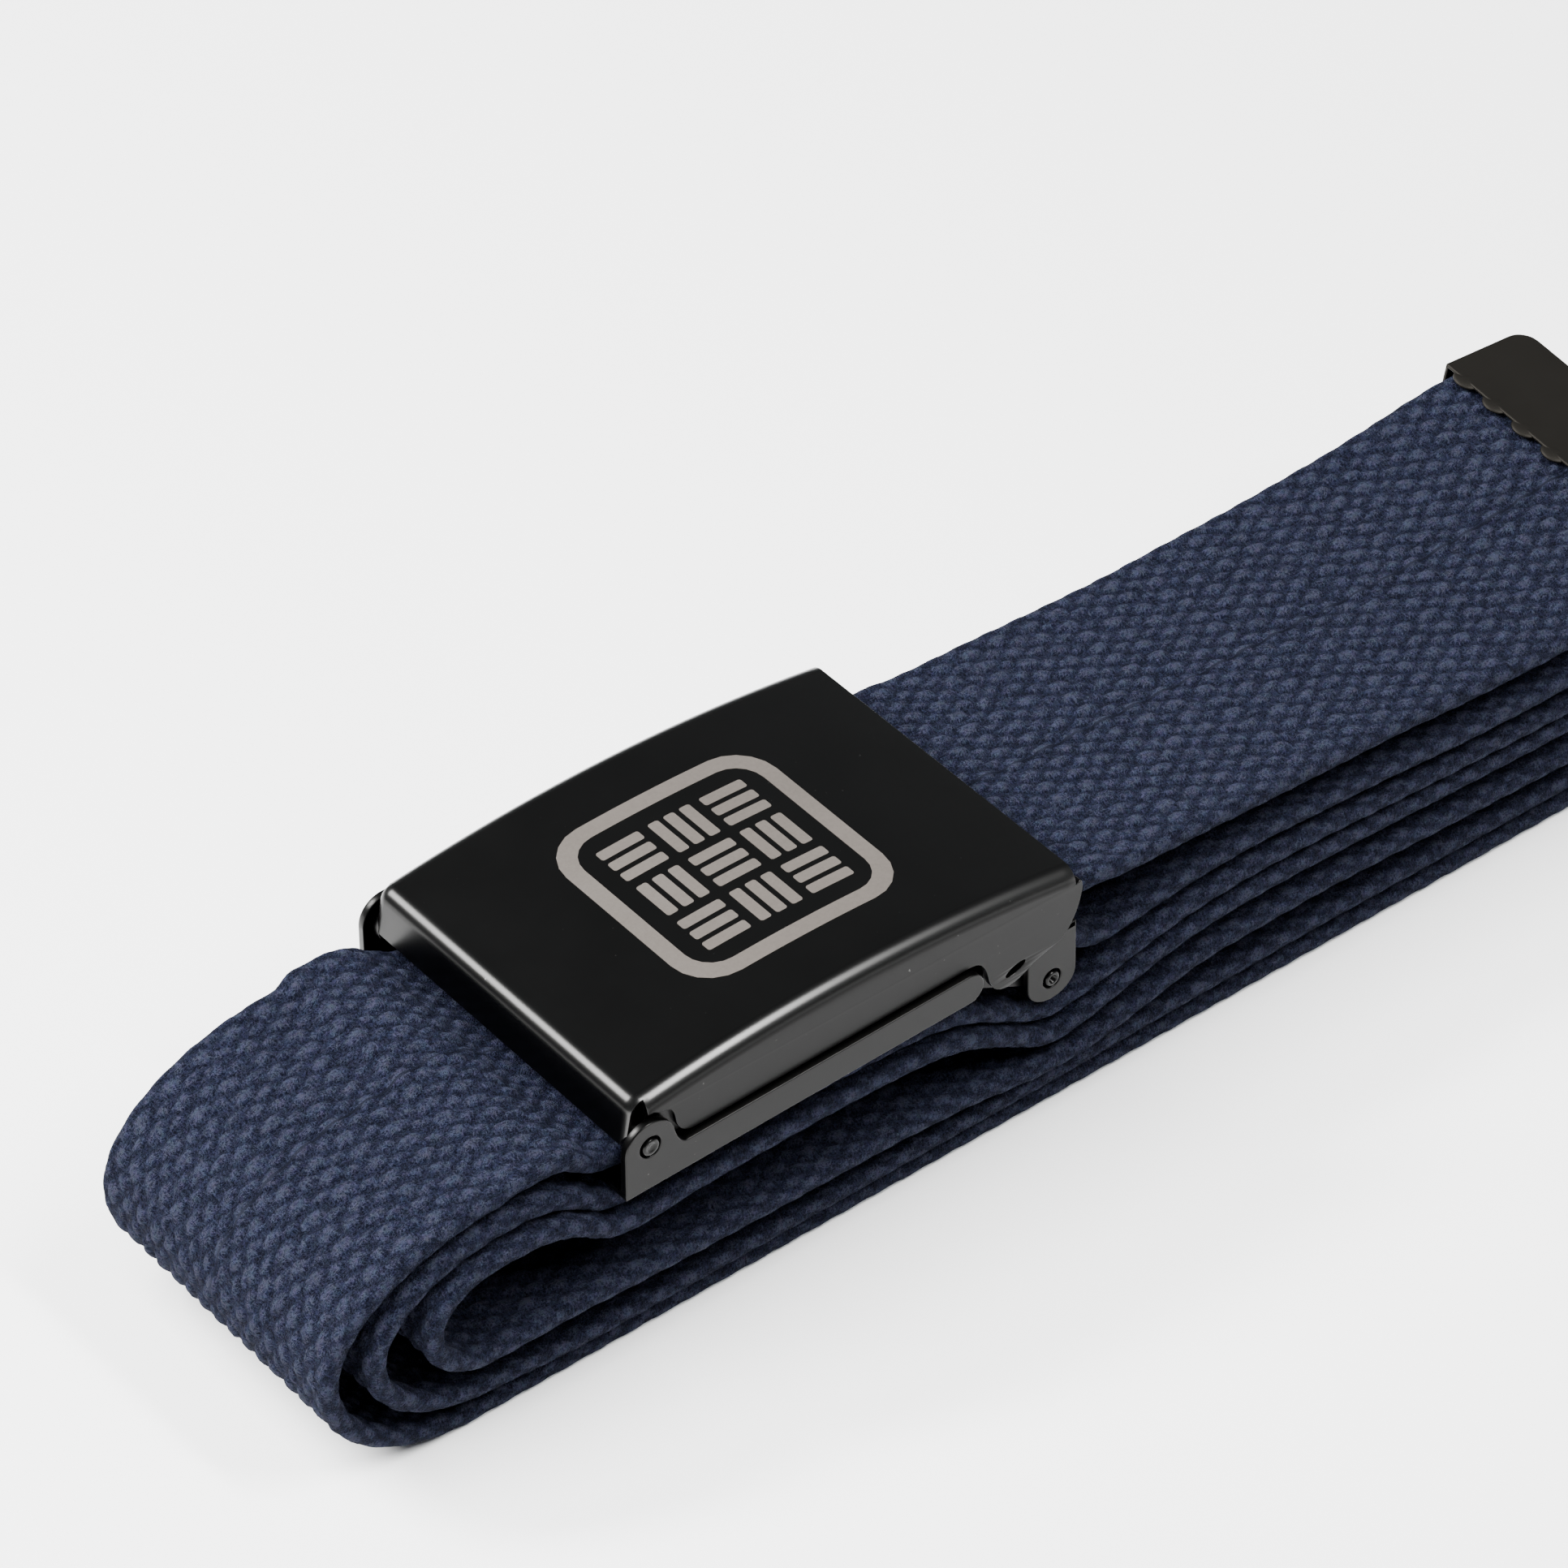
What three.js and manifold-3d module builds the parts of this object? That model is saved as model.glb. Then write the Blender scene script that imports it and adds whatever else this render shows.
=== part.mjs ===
// Canvas web belt, fastened as a loop, folded flat on itself with its flip-lid buckle on top.
// Millimetres, +Z up. X runs along the folded bundle, from the left folds to the belt's tip.
// The belt is drawn with its left folds at X = 0 and lying on Z = 0, then centred at the end.
import * as THREE from 'three';
import { mergeVertices } from 'three/addons/utils/BufferGeometryUtils.js';
import Module from 'manifold-3d';

const wasm = await Module();
wasm.setup();

// Web
const webWidth = 38;
const webThickness = 2.5;
const webEdgeRound = 0.6;
const layerGap = 0.3;          // air between two layers that press on each other
const bundleLength = 190;      // left folds to right folds, outside
const foldLoft = 10;           // the loosest hollow of the folds; the tables' air is a share of it
const sideDrift = 2.2;         // how far the inmost fold stands out towards the viewer
const freeEndTwist = 6;        // degrees, the free end's far edge is the higher one
const webStep = 3.4;           // longest step along a straight run
const foldStepsLeast = 12;
const foldStepsPerMm = 1.1;
const driftStart = 0.1;        // shares of bundleLength: the layers drift sideways and the folds
const driftEnd = 0.95;         // are round between these two
const twistStart = 0.66;       // share of bundleLength where the free end begins to twist

// Buckle
const buckleStart = 34.8;      // from the left folds to the frame's front end
const plateThickness = 0.9;
const webSideRoom = 2.1;       // between the web's edge and the frame's sides
const railLength = 45.6;
const railHeight = 3.7;
const frameSlope = 1.5;        // degrees, the frame's front is lower than its rear
const hingeInset = 3.1;        // from the frame's front end to the hinge pin
const earRadius = 3.1;
const pinRadius = 1;
const pinGap = 0.3;
const pinFacets = 24;
const shortestEdge = 0.003;    // edges shorter than this are closed up
const pinProud = 0.15;
const pinLift = 0.8;           // from the web's top to the hinge pin's underside
const turnGap = 0.35;          // between the lid and what it turns past
const earFillet = 0.45;        // where the hinge ear runs down into its rail
const earFilletAngle = 0.35;
const webDips = 4;             // the free web starts to dip this far before the frame
const webSettles = 1.4;        // and lies on its floor this far inside
const webLeaves = 0.35;        // share of railLength where the free web lifts off the floor
const webExit = 5;             // it reaches the stack's own height this far behind the lid

// Lid
const lidLength = 56.6;
const lidInset = 0.7;          // the lid's sides stand this far inside the frame's
const lidArch = 2.2;
const lidHeight = 5;           // from the hinge pin's middle to the lid's ends
const lidOverhang = 1.6;       // the lid's front bend stands this far before the pin
const lipDepth = 5;
const lipLean = 0.6;           // the lip's foot stands this much further out than its top
const lipLap = 0.6;            // the lip's own sheet reaches this far behind the bend
const lipProud = 0.07;
const lidBend = 1.3;
const cheekDrop = 5.4;         // the lid's rear cheeks, below its sides
const rearSwell = 0.9;         // the cheeks stand this far behind the lid's end
const tabWall = 0.8;           // round the hinge pin
const tabReach = 5;            // the hinge tabs run back this far behind the ear
const slotLength = 2.8;
const slotHeight = 1;
const slotTurn = 0.35;
const slotPlace = { along: 0.36, down: 0.65 };

// Rear clamp, which holds the web's fixed end
const pinSpan = 53.3;          // from the hinge pin to the clamp pin
const rearEarWidth = 6.4;
const rearEarRadius = 2.8;
const rearEarDrop = 5.4;       // from the frame's underside to the clamp pin's middle
const rearEarSide = 0.8;
const clampPinRadius = 0.9;
const clampLength = 10.8;
const clampLead = 1.2;         // the layers part this far before the clamp's plate
const clampBarrel = 1.5;
const fixedRise = 8;           // the fixed end drops from the stack to the clamp over this length

// Metal tip on the free end
const tipLength = 12;
const tipWall = 0.45;
const tipRound = 2.4;
const tipCover = 9.5;          // how far the web reaches into the tip
const tipBeyond = 3.2;         // the tip's end stands this far past the right folds
const tipDip = 4;              // degrees, the free end's last stretch bends down

// The air under each layer, as shares of foldLoft, at places along the bundle, 0 to 1.
// Layers from the ground up: outer return (on the ground), middle return, inner return,
// inner run, middle run, fixed run (right of the buckle only), free web.
const airColumns = ['at', 'middleReturn', 'innerReturn', 'innerRun', 'middleRun', 'fixedRun', 'freeWeb'];
const airRows = [
  [0.105, 0.09, 0.26, 0.92, 0.00, 0.00, 0.00],
  [0.137, 0.04, 0.31, 0.90, 0.00, 0.00, 0.02],
  [0.158, 0.01, 0.34, 0.76, 0.00, 0.00, 0.12],
  [0.184, 0.00, 0.32, 0.50, 0.00, 0.00, 0.14],
  [0.237, 0.00, 0.28, 0.57, 0.00, 0.00, 0.14],
  [0.310, 0.00, 0.24, 0.62, 0.00, 0.00, 0.14],
  [0.368, 0.00, 0.22, 0.60, 0.00, 0.00, 0.14],
  [0.400, 0.00, 0.18, 0.58, 0.01, 0.00, 0.14],
  [0.426, 0.00, 0.14, 0.48, 0.01, 0.05, 0.60],
  [0.452, 0.00, 0.06, 0.30, 0.01, 0.10, 0.60],
  [0.479, 0.00, 0.00, 0.09, 0.03, 0.25, 0.65],
  [0.510, 0.01, 0.02, 0.12, 0.03, 0.18, 0.60],
  [0.532, 0.02, 0.08, 0.16, 0.01, 0.12, 0.50],
  [0.558, 0.03, 0.18, 0.17, 0.00, 0.08, 0.40],
  [0.590, 0.04, 0.28, 0.15, 0.00, 0.06, 0.31],
  [0.632, 0.05, 0.29, 0.16, 0.01, 0.06, 0.23],
  [0.684, 0.06, 0.28, 0.13, 0.01, 0.06, 0.22],
  [0.737, 0.05, 0.24, 0.13, 0.00, 0.08, 0.25],
  [0.789, 0.04, 0.20, 0.13, 0.00, 0.07, 0.28],
  [0.868, 0.03, 0.15, 0.14, 0.00, 0.11, 0.31],
  [0.947, 0.03, 0.15, 0.16, 0.00, 0.17, 0.36],
  [1.000, 0.03, 0.15, 0.16, 0.00, 0.17, 0.36],
].map((row) => Object.fromEntries(row.map((value, i) => [airColumns[i], value])));

// Where the buckle's front and its clamp pin stand in the table above.
const buckleAt = { start: 0.1832, clampPin: 0.48 };

// The turned folds, as shares of bundleLength. inset is how far a fold lies inside the outer
// one, and top, bottom and depth are how far its curve reaches along the bundle.
const leftFolds = {
  outer: { inset: 0, top: 0.116, bottom: 0.088 },
  middle: { inset: 0.0265, top: 0.084, bottom: 0.076 },
  inner: { inset: 0.058, top: 0.042, bottom: 0.037 },
};
const rightFolds = {
  outer: { inset: 0, depth: 0.042 },
  inner: { inset: 0.029 },
  upper: { inset: 0.006 },
};

// How far each layer stands out sideways, as shares of sideDrift, at its left and right ends.
const drift = {
  freeWeb: { left: 0, right: 0 },
  outerReturn: { left: 0, right: -0.2 },
  innerRun: { left: -1, right: -0.3 },
  innerReturn: { left: -1, right: -0.5 },
  middleReturn: { left: -0.4, right: -0.3 },
  middleRun: { left: -0.4, right: -0.35 },
  fixedRun: { left: 0, right: -0.45 },
};

// The lid's side where it passes the hinge ear: x in ear radii behind the ear, z in shares of the
// side's height, both for the curve's control point (via) and its end.
const earPassRows = [
  { viaX: 0.12, viaZ: 0.75, x: 0.18, z: 0.40 },
  { viaX: 0.26, viaZ: 0.00, x: 1.00, z: 0.00 },
];

// The lid's rear cheek: x in shares of its length, z in shares of its drop.
const cheekRows = [
  { viaX: 0.02, viaZ: 0.04, x: 0.06, z: 0.48 },
  { viaX: 0.10, viaZ: 1.00, x: 0.28, z: 1.00 },
  { viaX: 0.44, viaZ: 0.96, x: 0.54, z: 0.76 },
  { viaX: 0.71, viaZ: 0.63, x: 0.86, z: 0.54 },
];

const layerPitch = webThickness + layerGap;
const layerOrder = ['middleReturn', 'innerReturn', 'innerRun', 'middleRun', 'fixedRun', 'freeWeb'];
const degrees = Math.PI / 180;

// Value of one column of the table at a place, by a cubic that keeps each row's slope.
function readRows(rows, at, column) {
  const last = rows.length - 1;
  const place = Math.min(Math.max(at, rows[0].at), rows[last].at);
  let i = 0;
  while (i < last - 1 && place > rows[i + 1].at) i += 1;
  const slopeAt = (k) => {
    const before = rows[Math.max(k - 1, 0)];
    const after = rows[Math.min(k + 1, last)];
    return k === 0 || k === last ? 0 : (after[column] - before[column]) / (after.at - before.at);
  };
  const span = rows[i + 1].at - rows[i].at;
  const u = (place - rows[i].at) / span;
  const rise = (3 - 2 * u) * u * u;
  const ease = u * (1 - u) ** 2 * slopeAt(i) - u * u * (1 - u) * slopeAt(i + 1);
  return rows[i][column] * (1 - rise) + rows[i + 1][column] * rise + ease * span;
}

// Where x falls in the air table, whose rows keep their places under the buckle's two ends.
function tablePlace(x) {
  const marks = [
    { x: 0, at: 0 },
    { x: buckleStart, at: buckleAt.start },
    { x: clampPinX, at: buckleAt.clampPin },
    { x: bundleLength, at: 1 },
  ];
  const next = Math.max(1, marks.findIndex((mark) => x < mark.x));
  const k = x >= bundleLength ? marks.length - 1 : next;
  return THREE.MathUtils.mapLinear(x, marks[k - 1].x, marks[k].x, marks[k - 1].at, marks[k].at);
}

// Height of a layer's middle surface at x, stacked up from the ground.
function layerHeight(layer, x) {
  let height = webThickness / 2;
  if (layer === 'outerReturn') return height;
  for (const name of layerOrder) {
    const isLeft = x < fixedRunStart && name === 'fixedRun';
    if (!isLeft) {
      height += layerPitch + Math.max(readRows(airRows, tablePlace(x), name), 0) * foldLoft;
    }
    if (name === layer) return height;
  }
  throw new Error(`no layer ${layer}`);
}

function driftAt(layer, x) {
  const share = THREE.MathUtils.smoothstep(x, bundleLength * driftStart, bundleLength * driftEnd);
  const ends = drift[layer];
  return sideDrift * THREE.MathUtils.lerp(ends.left, ends.right, share);
}

// Places of the buckle, all following the frame's seat on the layer below it.
const hingeX = buckleStart + hingeInset;
const rise = Math.tan(frameSlope * degrees);
const clampPinX = hingeX + pinSpan;
const clampFront = clampPinX - clampLength;
const fixedRunStart = clampFront - clampLead;
const seatPlaces = [-webThickness / 4, 0, railLength / 4, railLength / 2].map((u) => buckleStart + u);
const layerTop = (layer, x) => layerHeight(layer, x) + webThickness / 2 + layerGap;

// The frame is seated on the layer below it, by its floor or by the clamp that hangs from it.
const clampDepth = rearEarDrop + rearEarRadius;
const clampSeats = [0, 0.25, 0.5, 0.75, 1].map((share) => ({
  x: clampPinX - clampLength * share,
  below: clampDepth * (1 - share) + (plateThickness + layerGap) * share,
}));
clampSeats.push({ x: clampPinX + rearEarWidth / 2, below: clampDepth });
const frameBottom = Math.max(
  ...seatPlaces.map((x) => layerTop('middleRun', x) - (x - buckleStart) * rise),
  ...clampSeats.map(({ x, below }) => layerTop('middleRun', x) + below - (x - buckleStart) * rise),
);
const floorUnder = (x) => frameBottom + (x - buckleStart) * rise;
const floorTop = (x) => floorUnder(x) + plateThickness;
const webInFrame = (x) => floorTop(x) + layerGap + webThickness / 2;
const hingeZ = webInFrame(hingeX) + webThickness / 2 + pinLift + pinRadius;
const clampPinZ = floorUnder(clampPinX) - rearEarDrop;
const frameHalf = webWidth / 2 + webSideRoom + plateThickness;
const lidHalf = frameHalf - lidInset;
const rearEarOuter = lidHalf - plateThickness - turnGap;
const rearEarInner = rearEarOuter - rearEarSide;
const lidFront = hingeX - lidOverhang;
const lidRear = lidFront + lidLength;
const lidTop = hingeZ + lidHeight;
const railEnd = buckleStart + railLength;
const railTop = (x) => floorUnder(x) + railHeight / Math.cos(frameSlope * degrees);
const flangeFoot = (x) => railTop(x) + turnGap;
const rearFoot = flangeFoot(railEnd);
const tipStart = bundleLength + tipBeyond - tipLength;
const webEndX = tipStart + tipCover;

// A closed body from a three.js geometry, whichever way round its faces were made.
function toSolid(geometry) {
  const bare = geometry.index ? geometry.toNonIndexed() : geometry.clone();
  bare.deleteAttribute('normal');
  bare.deleteAttribute('uv');
  const merged = mergeVertices(bare, 1e-4);
  const points = merged.attributes.position.array;
  const faces = Array.from(merged.index.array);
  const corner = (i) => new THREE.Vector3().fromArray(points, faces[i] * 3);
  let volume = 0;
  for (let i = 0; i < faces.length; i += 3) {
    volume += corner(i).dot(corner(i + 1).cross(corner(i + 2)));
  }
  if (volume < 0) faces.reverse();
  const mesh = new wasm.Mesh({
    numProp: 3,
    vertProperties: Float32Array.from(points),
    triVerts: Uint32Array.from(faces),
  });
  return new wasm.Manifold(mesh);
}

function toGeometry(solid) {
  const { vertProperties, triVerts } = solid.simplify(shortestEdge).getMesh();
  const geometry = new THREE.BufferGeometry();
  geometry.setAttribute('position', new THREE.BufferAttribute(vertProperties, 3));
  geometry.setIndex(new THREE.BufferAttribute(triVerts, 1));
  return geometry;
}

// A flat outline in X and Z, given its thickness along Y.
function slab(shape, from, to, curveSegments = 10) {
  const geometry = new THREE.ExtrudeGeometry(shape, {
    depth: to - from, bevelEnabled: false, curveSegments,
  });
  geometry.rotateX(Math.PI / 2);
  geometry.translate(0, to, 0);
  return geometry;
}

// The same, drawn in the frame's own sloping axes from its lower front corner.
function frameSlab(shape, from, to) {
  const geometry = slab(shape, from, to);
  geometry.rotateY(-frameSlope * degrees);
  geometry.translate(buckleStart, 0, frameBottom);
  return toSolid(geometry);
}

function inFrame(x, z) {
  const point = new THREE.Vector2(x - buckleStart, z - frameBottom);
  return point.rotateAround(new THREE.Vector2(), -frameSlope * degrees);
}

function bothSides(make, inner, outer) {
  return make(-outer, -inner).add(make(inner, outer));
}

function pin(x, z, radius, half) {
  const geometry = new THREE.CylinderGeometry(radius, radius, half * 2, pinFacets);
  geometry.translate(x, 0, z);
  return geometry;
}

// One point of the web's route: x and z of its middle surface, and how far it stands aside.
function routePoint(x, z, aside = 0) {
  return { x, z, aside };
}

function routeRun(height, aside, from, to) {
  const steps = Math.ceil(Math.abs(to - from) / webStep);
  const points = [];
  for (let i = 0; i <= steps; i += 1) {
    const x = from + (to - from) * i / steps;
    points.push(routePoint(x, height(x), aside(x)));
  }
  return points;
}

// A turned fold from one layer to the next. inward is +1 for a left fold, -1 for a right one.
function routeFold(extreme, inward, start, end) {
  const points = [];
  const steps = Math.max(foldStepsLeast, Math.round(Math.abs(end.z - start.z) * foldStepsPerMm));
  for (let i = 1; i < steps; i += 1) {
    const angle = Math.PI * i / steps;
    const share = (1 - Math.cos(angle)) / 2;
    const depth = Math.abs((angle < Math.PI / 2 ? start.x : end.x) - extreme);
    points.push(routePoint(
      extreme + inward * depth * (1 - Math.sin(angle)),
      start.z + (end.z - start.z) * share,
      start.aside + (end.aside - start.aside) * share,
    ));
  }
  return points;
}

function blend(from, to, x, start, end) {
  const share = THREE.MathUtils.smoothstep(x, start, end);
  return from * (1 - share) + to * share;
}

// The free web lies on the frame's floor inside the buckle, and on the layers elsewhere.
function freeWebHeight(x) {
  const stacked = layerHeight('freeWeb', x);
  const dipStart = buckleStart - webDips;
  if (x < hingeX) return blend(stacked, webInFrame(x), x, dipStart, buckleStart + webSettles);
  const exit = lidRear + webExit;
  if (x < exit) {
    const leaves = hingeX + railLength * webLeaves;
    return blend(webInFrame(x), layerHeight('freeWeb', exit), x, leaves, exit);
  }
  if (x < tipStart) return stacked;
  return layerHeight('freeWeb', tipStart) - (x - tipStart) * Math.tan(tipDip * degrees);
}

// The fixed end runs in above the clamp's barrel, under the frame's floor.
function fixedRunHeight(x) {
  const half = webThickness / 2;
  const clamped = clampPinZ + clampBarrel + layerGap + half;
  const inside = Math.max(clamped, floorUnder(x) - layerGap - half);
  if (x <= clampPinX) return inside;
  return blend(inside, layerHeight('fixedRun', x), x, clampPinX, clampPinX + fixedRise);
}

function webRoute() {
  const half = webThickness / 2;
  const left = (fold) => half + fold.inset * bundleLength;
  const right = (fold) => bundleLength - half - fold.inset * bundleLength;
  const runOf = (layer) => (x) => layerHeight(layer, x);
  const asideOf = (layer) => (x) => driftAt(layer, x);
  const fixedAside = (x) => driftAt('fixedRun', bundleLength)
    * THREE.MathUtils.smoothstep(x, clampPinX, bundleLength * driftEnd);
  const { outer, middle, inner } = leftFolds;
  const turns = rightFolds;
  // Round folds are as deep as half of their height.
  const roundDepth = (low, high) => {
    const x = bundleLength * driftEnd;
    return (layerHeight(high, x) - layerHeight(low, x)) / 2;
  };
  const leftEnds = (fold) => ({
    top: left(fold) + fold.top * bundleLength,
    bottom: left(fold) + fold.bottom * bundleLength,
  });
  const outerLeft = leftEnds(outer);
  const middleLeft = leftEnds(middle);
  const innerLeft = leftEnds(inner);
  const outerRight = right(turns.outer) - turns.outer.depth * bundleLength;
  const innerRight = right(turns.inner) - roundDepth('middleReturn', 'innerReturn');
  const upperRight = right(turns.upper) - roundDepth('middleRun', 'fixedRun');
  const runs = [
    routeRun(freeWebHeight, () => 0, webEndX, outerLeft.top),
    routeRun(() => half, asideOf('outerReturn'), outerLeft.bottom, outerRight),
    routeRun(runOf('innerRun'), asideOf('innerRun'), outerRight, innerLeft.top),
    routeRun(runOf('innerReturn'), asideOf('innerReturn'), innerLeft.bottom, innerRight),
    routeRun(runOf('middleReturn'), asideOf('middleReturn'), innerRight, middleLeft.bottom),
    routeRun(runOf('middleRun'), asideOf('middleRun'), middleLeft.top, upperRight),
    routeRun(fixedRunHeight, fixedAside, upperRight, clampPinX - clampBarrel),
  ];
  const folds = [
    [left(outer), 1], [right(turns.outer), -1], [left(inner), 1],
    [right(turns.inner), -1], [left(middle), 1], [right(turns.upper), -1],
  ];
  const route = [...runs[0]];
  folds.forEach(([extreme, inward], i) => {
    route.push(...routeFold(extreme, inward, runs[i].at(-1), runs[i + 1][0]), ...runs[i + 1]);
  });
  return route;
}

function twistAt(x) {
  const share = THREE.MathUtils.smoothstep(x, bundleLength * twistStart, bundleLength * driftEnd);
  return -freeEndTwist * degrees * share;
}

// The web's cross section, flat with rounded edges, carried along the route.
function webGeometry(route, freePoints) {
  const w = webWidth / 2;
  const t = webThickness / 2;
  const r = webEdgeRound;
  const section = [
    [-w, -t + r], [-w + r, -t], [w - r, -t], [w, -t + r],
    [w, t - r], [w - r, t], [-w + r, t], [-w, t - r],
  ];
  const sides = section.length;
  const positions = [];
  route.forEach((point, i) => {
    const before = route[Math.max(i - 1, 0)];
    const after = route[Math.min(i + 1, route.length - 1)];
    const along = new THREE.Vector2(after.x - before.x, after.z - before.z).normalize();
    const twist = i < freePoints ? twistAt(point.x) : 0;
    for (const [across, out] of section) {
      const y = across * Math.cos(twist) - out * Math.sin(twist);
      const rise = across * Math.sin(twist) + out * Math.cos(twist);
      positions.push(point.x - along.y * rise, point.aside + y, point.z + along.x * rise);
    }
  });
  const index = [];
  for (let i = 0; i < route.length - 1; i += 1) {
    for (let k = 0; k < sides; k += 1) {
      const a = i * sides + k;
      const b = i * sides + (k + 1) % sides;
      index.push(a, b, a + sides, b, b + sides, a + sides);
    }
  }
  const lastRing = (route.length - 1) * sides;
  for (let k = 1; k < sides - 1; k += 1) {
    index.push(0, k + 1, k);
    index.push(lastRing, lastRing + k, lastRing + k + 1);
  }
  const geometry = new THREE.BufferGeometry();
  geometry.setAttribute('position', new THREE.Float32BufferAttribute(positions, 3));
  geometry.setIndex(index);
  return toGeometry(toSolid(geometry));
}

// Frame: floor, side rails with the hinge ears, and the rear ears for the clamp's pin.
function frameGeometry() {
  const hinge = inFrame(hingeX, hingeZ);
  const clamp = inFrame(clampPinX, clampPinZ);
  const side = new THREE.Shape();
  side.moveTo(0, 0);
  const railRound = railHeight / 2;
  side.absarc(railLength - railRound, railRound, railRound, -Math.PI / 2, Math.PI / 2, false);
  side.lineTo(hinge.x + earRadius + earFillet, railHeight);
  side.absarc(hinge.x, hinge.y, earRadius, earFilletAngle, Math.PI, false);
  side.lineTo(0, 0);
  const hole = new THREE.Path();
  hole.absarc(hinge.x, hinge.y, pinRadius + pinGap, 0, Math.PI * 2, false);
  side.holes.push(hole);
  const plate = (from, to) => {
    const shape = new THREE.Shape();
    shape.moveTo(from, 0);
    shape.lineTo(to, 0);
    shape.lineTo(to, plateThickness);
    shape.lineTo(from, plateThickness);
    return shape;
  };
  const floor = plate(0, railLength - railRound / 2);
  const rearFloor = plate(railLength / 2, clamp.x + rearEarWidth / 2);
  const ear = new THREE.Shape();
  ear.moveTo(clamp.x + rearEarWidth / 2, plateThickness);
  ear.lineTo(clamp.x - rearEarWidth / 2, plateThickness);
  ear.lineTo(clamp.x - rearEarWidth / 2, clamp.y);
  ear.absellipse(clamp.x, clamp.y, rearEarWidth / 2, rearEarRadius, Math.PI, Math.PI * 2, false);
  const earHole = new THREE.Path();
  earHole.absarc(clamp.x, clamp.y, clampPinRadius + pinGap, 0, Math.PI * 2, false);
  ear.holes.push(earHole);
  const solid = frameSlab(floor, -frameHalf, frameHalf)
    .add(frameSlab(rearFloor, -rearEarOuter, rearEarOuter))
    .add(bothSides((a, b) => frameSlab(side, a, b), frameHalf - plateThickness, frameHalf))
    .add(bothSides((a, b) => frameSlab(ear, a, b), rearEarInner, rearEarOuter));
  return toGeometry(solid);
}

// Height of the lid's arched top at x.
function archTop(x) {
  const u = (x - lidFront) / lidLength;
  return lidTop + 4 * lidArch * u * (1 - u);
}

// Adds a table's curves to an outline. x and z give each point from its shares.
function addCurves(shape, rows, x, z) {
  for (const row of rows) {
    shape.quadraticCurveTo(x(row.viaX), z(row.viaZ), x(row.x), z(row.z));
  }
}

// The lid's cross section swept along its arch; inset moves every face inwards.
function lidSweep(inset) {
  const overrun = lidBend + lidArch;
  const slopeAtEnd = 4 * lidArch / lidLength;
  const drop = overrun * slopeAtEnd;
  const path = new THREE.QuadraticBezierCurve3(
    new THREE.Vector3(lidFront - overrun, 0, lidTop - drop),
    new THREE.Vector3(lidFront + lidLength / 2, 0, lidTop + 2 * lidArch + drop),
    new THREE.Vector3(lidRear + overrun, 0, lidTop - drop),
  );
  const half = lidHalf - inset;
  const bend = Math.max(lidBend - inset, lidBend / 6);
  const shape = new THREE.Shape();
  shape.moveTo(-half, lidHalf);
  shape.lineTo(-half, inset + bend);
  shape.absarc(-half + bend, inset + bend, bend, Math.PI, Math.PI * 1.5, false);
  shape.lineTo(half - bend, inset);
  shape.absarc(half - bend, inset + bend, bend, Math.PI * 1.5, Math.PI * 2, false);
  shape.lineTo(half, lidHalf);
  return toSolid(new THREE.ExtrudeGeometry(shape, {
    steps: 14, bevelEnabled: false, curveSegments: 4, extrudePath: path,
  }));
}

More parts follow.
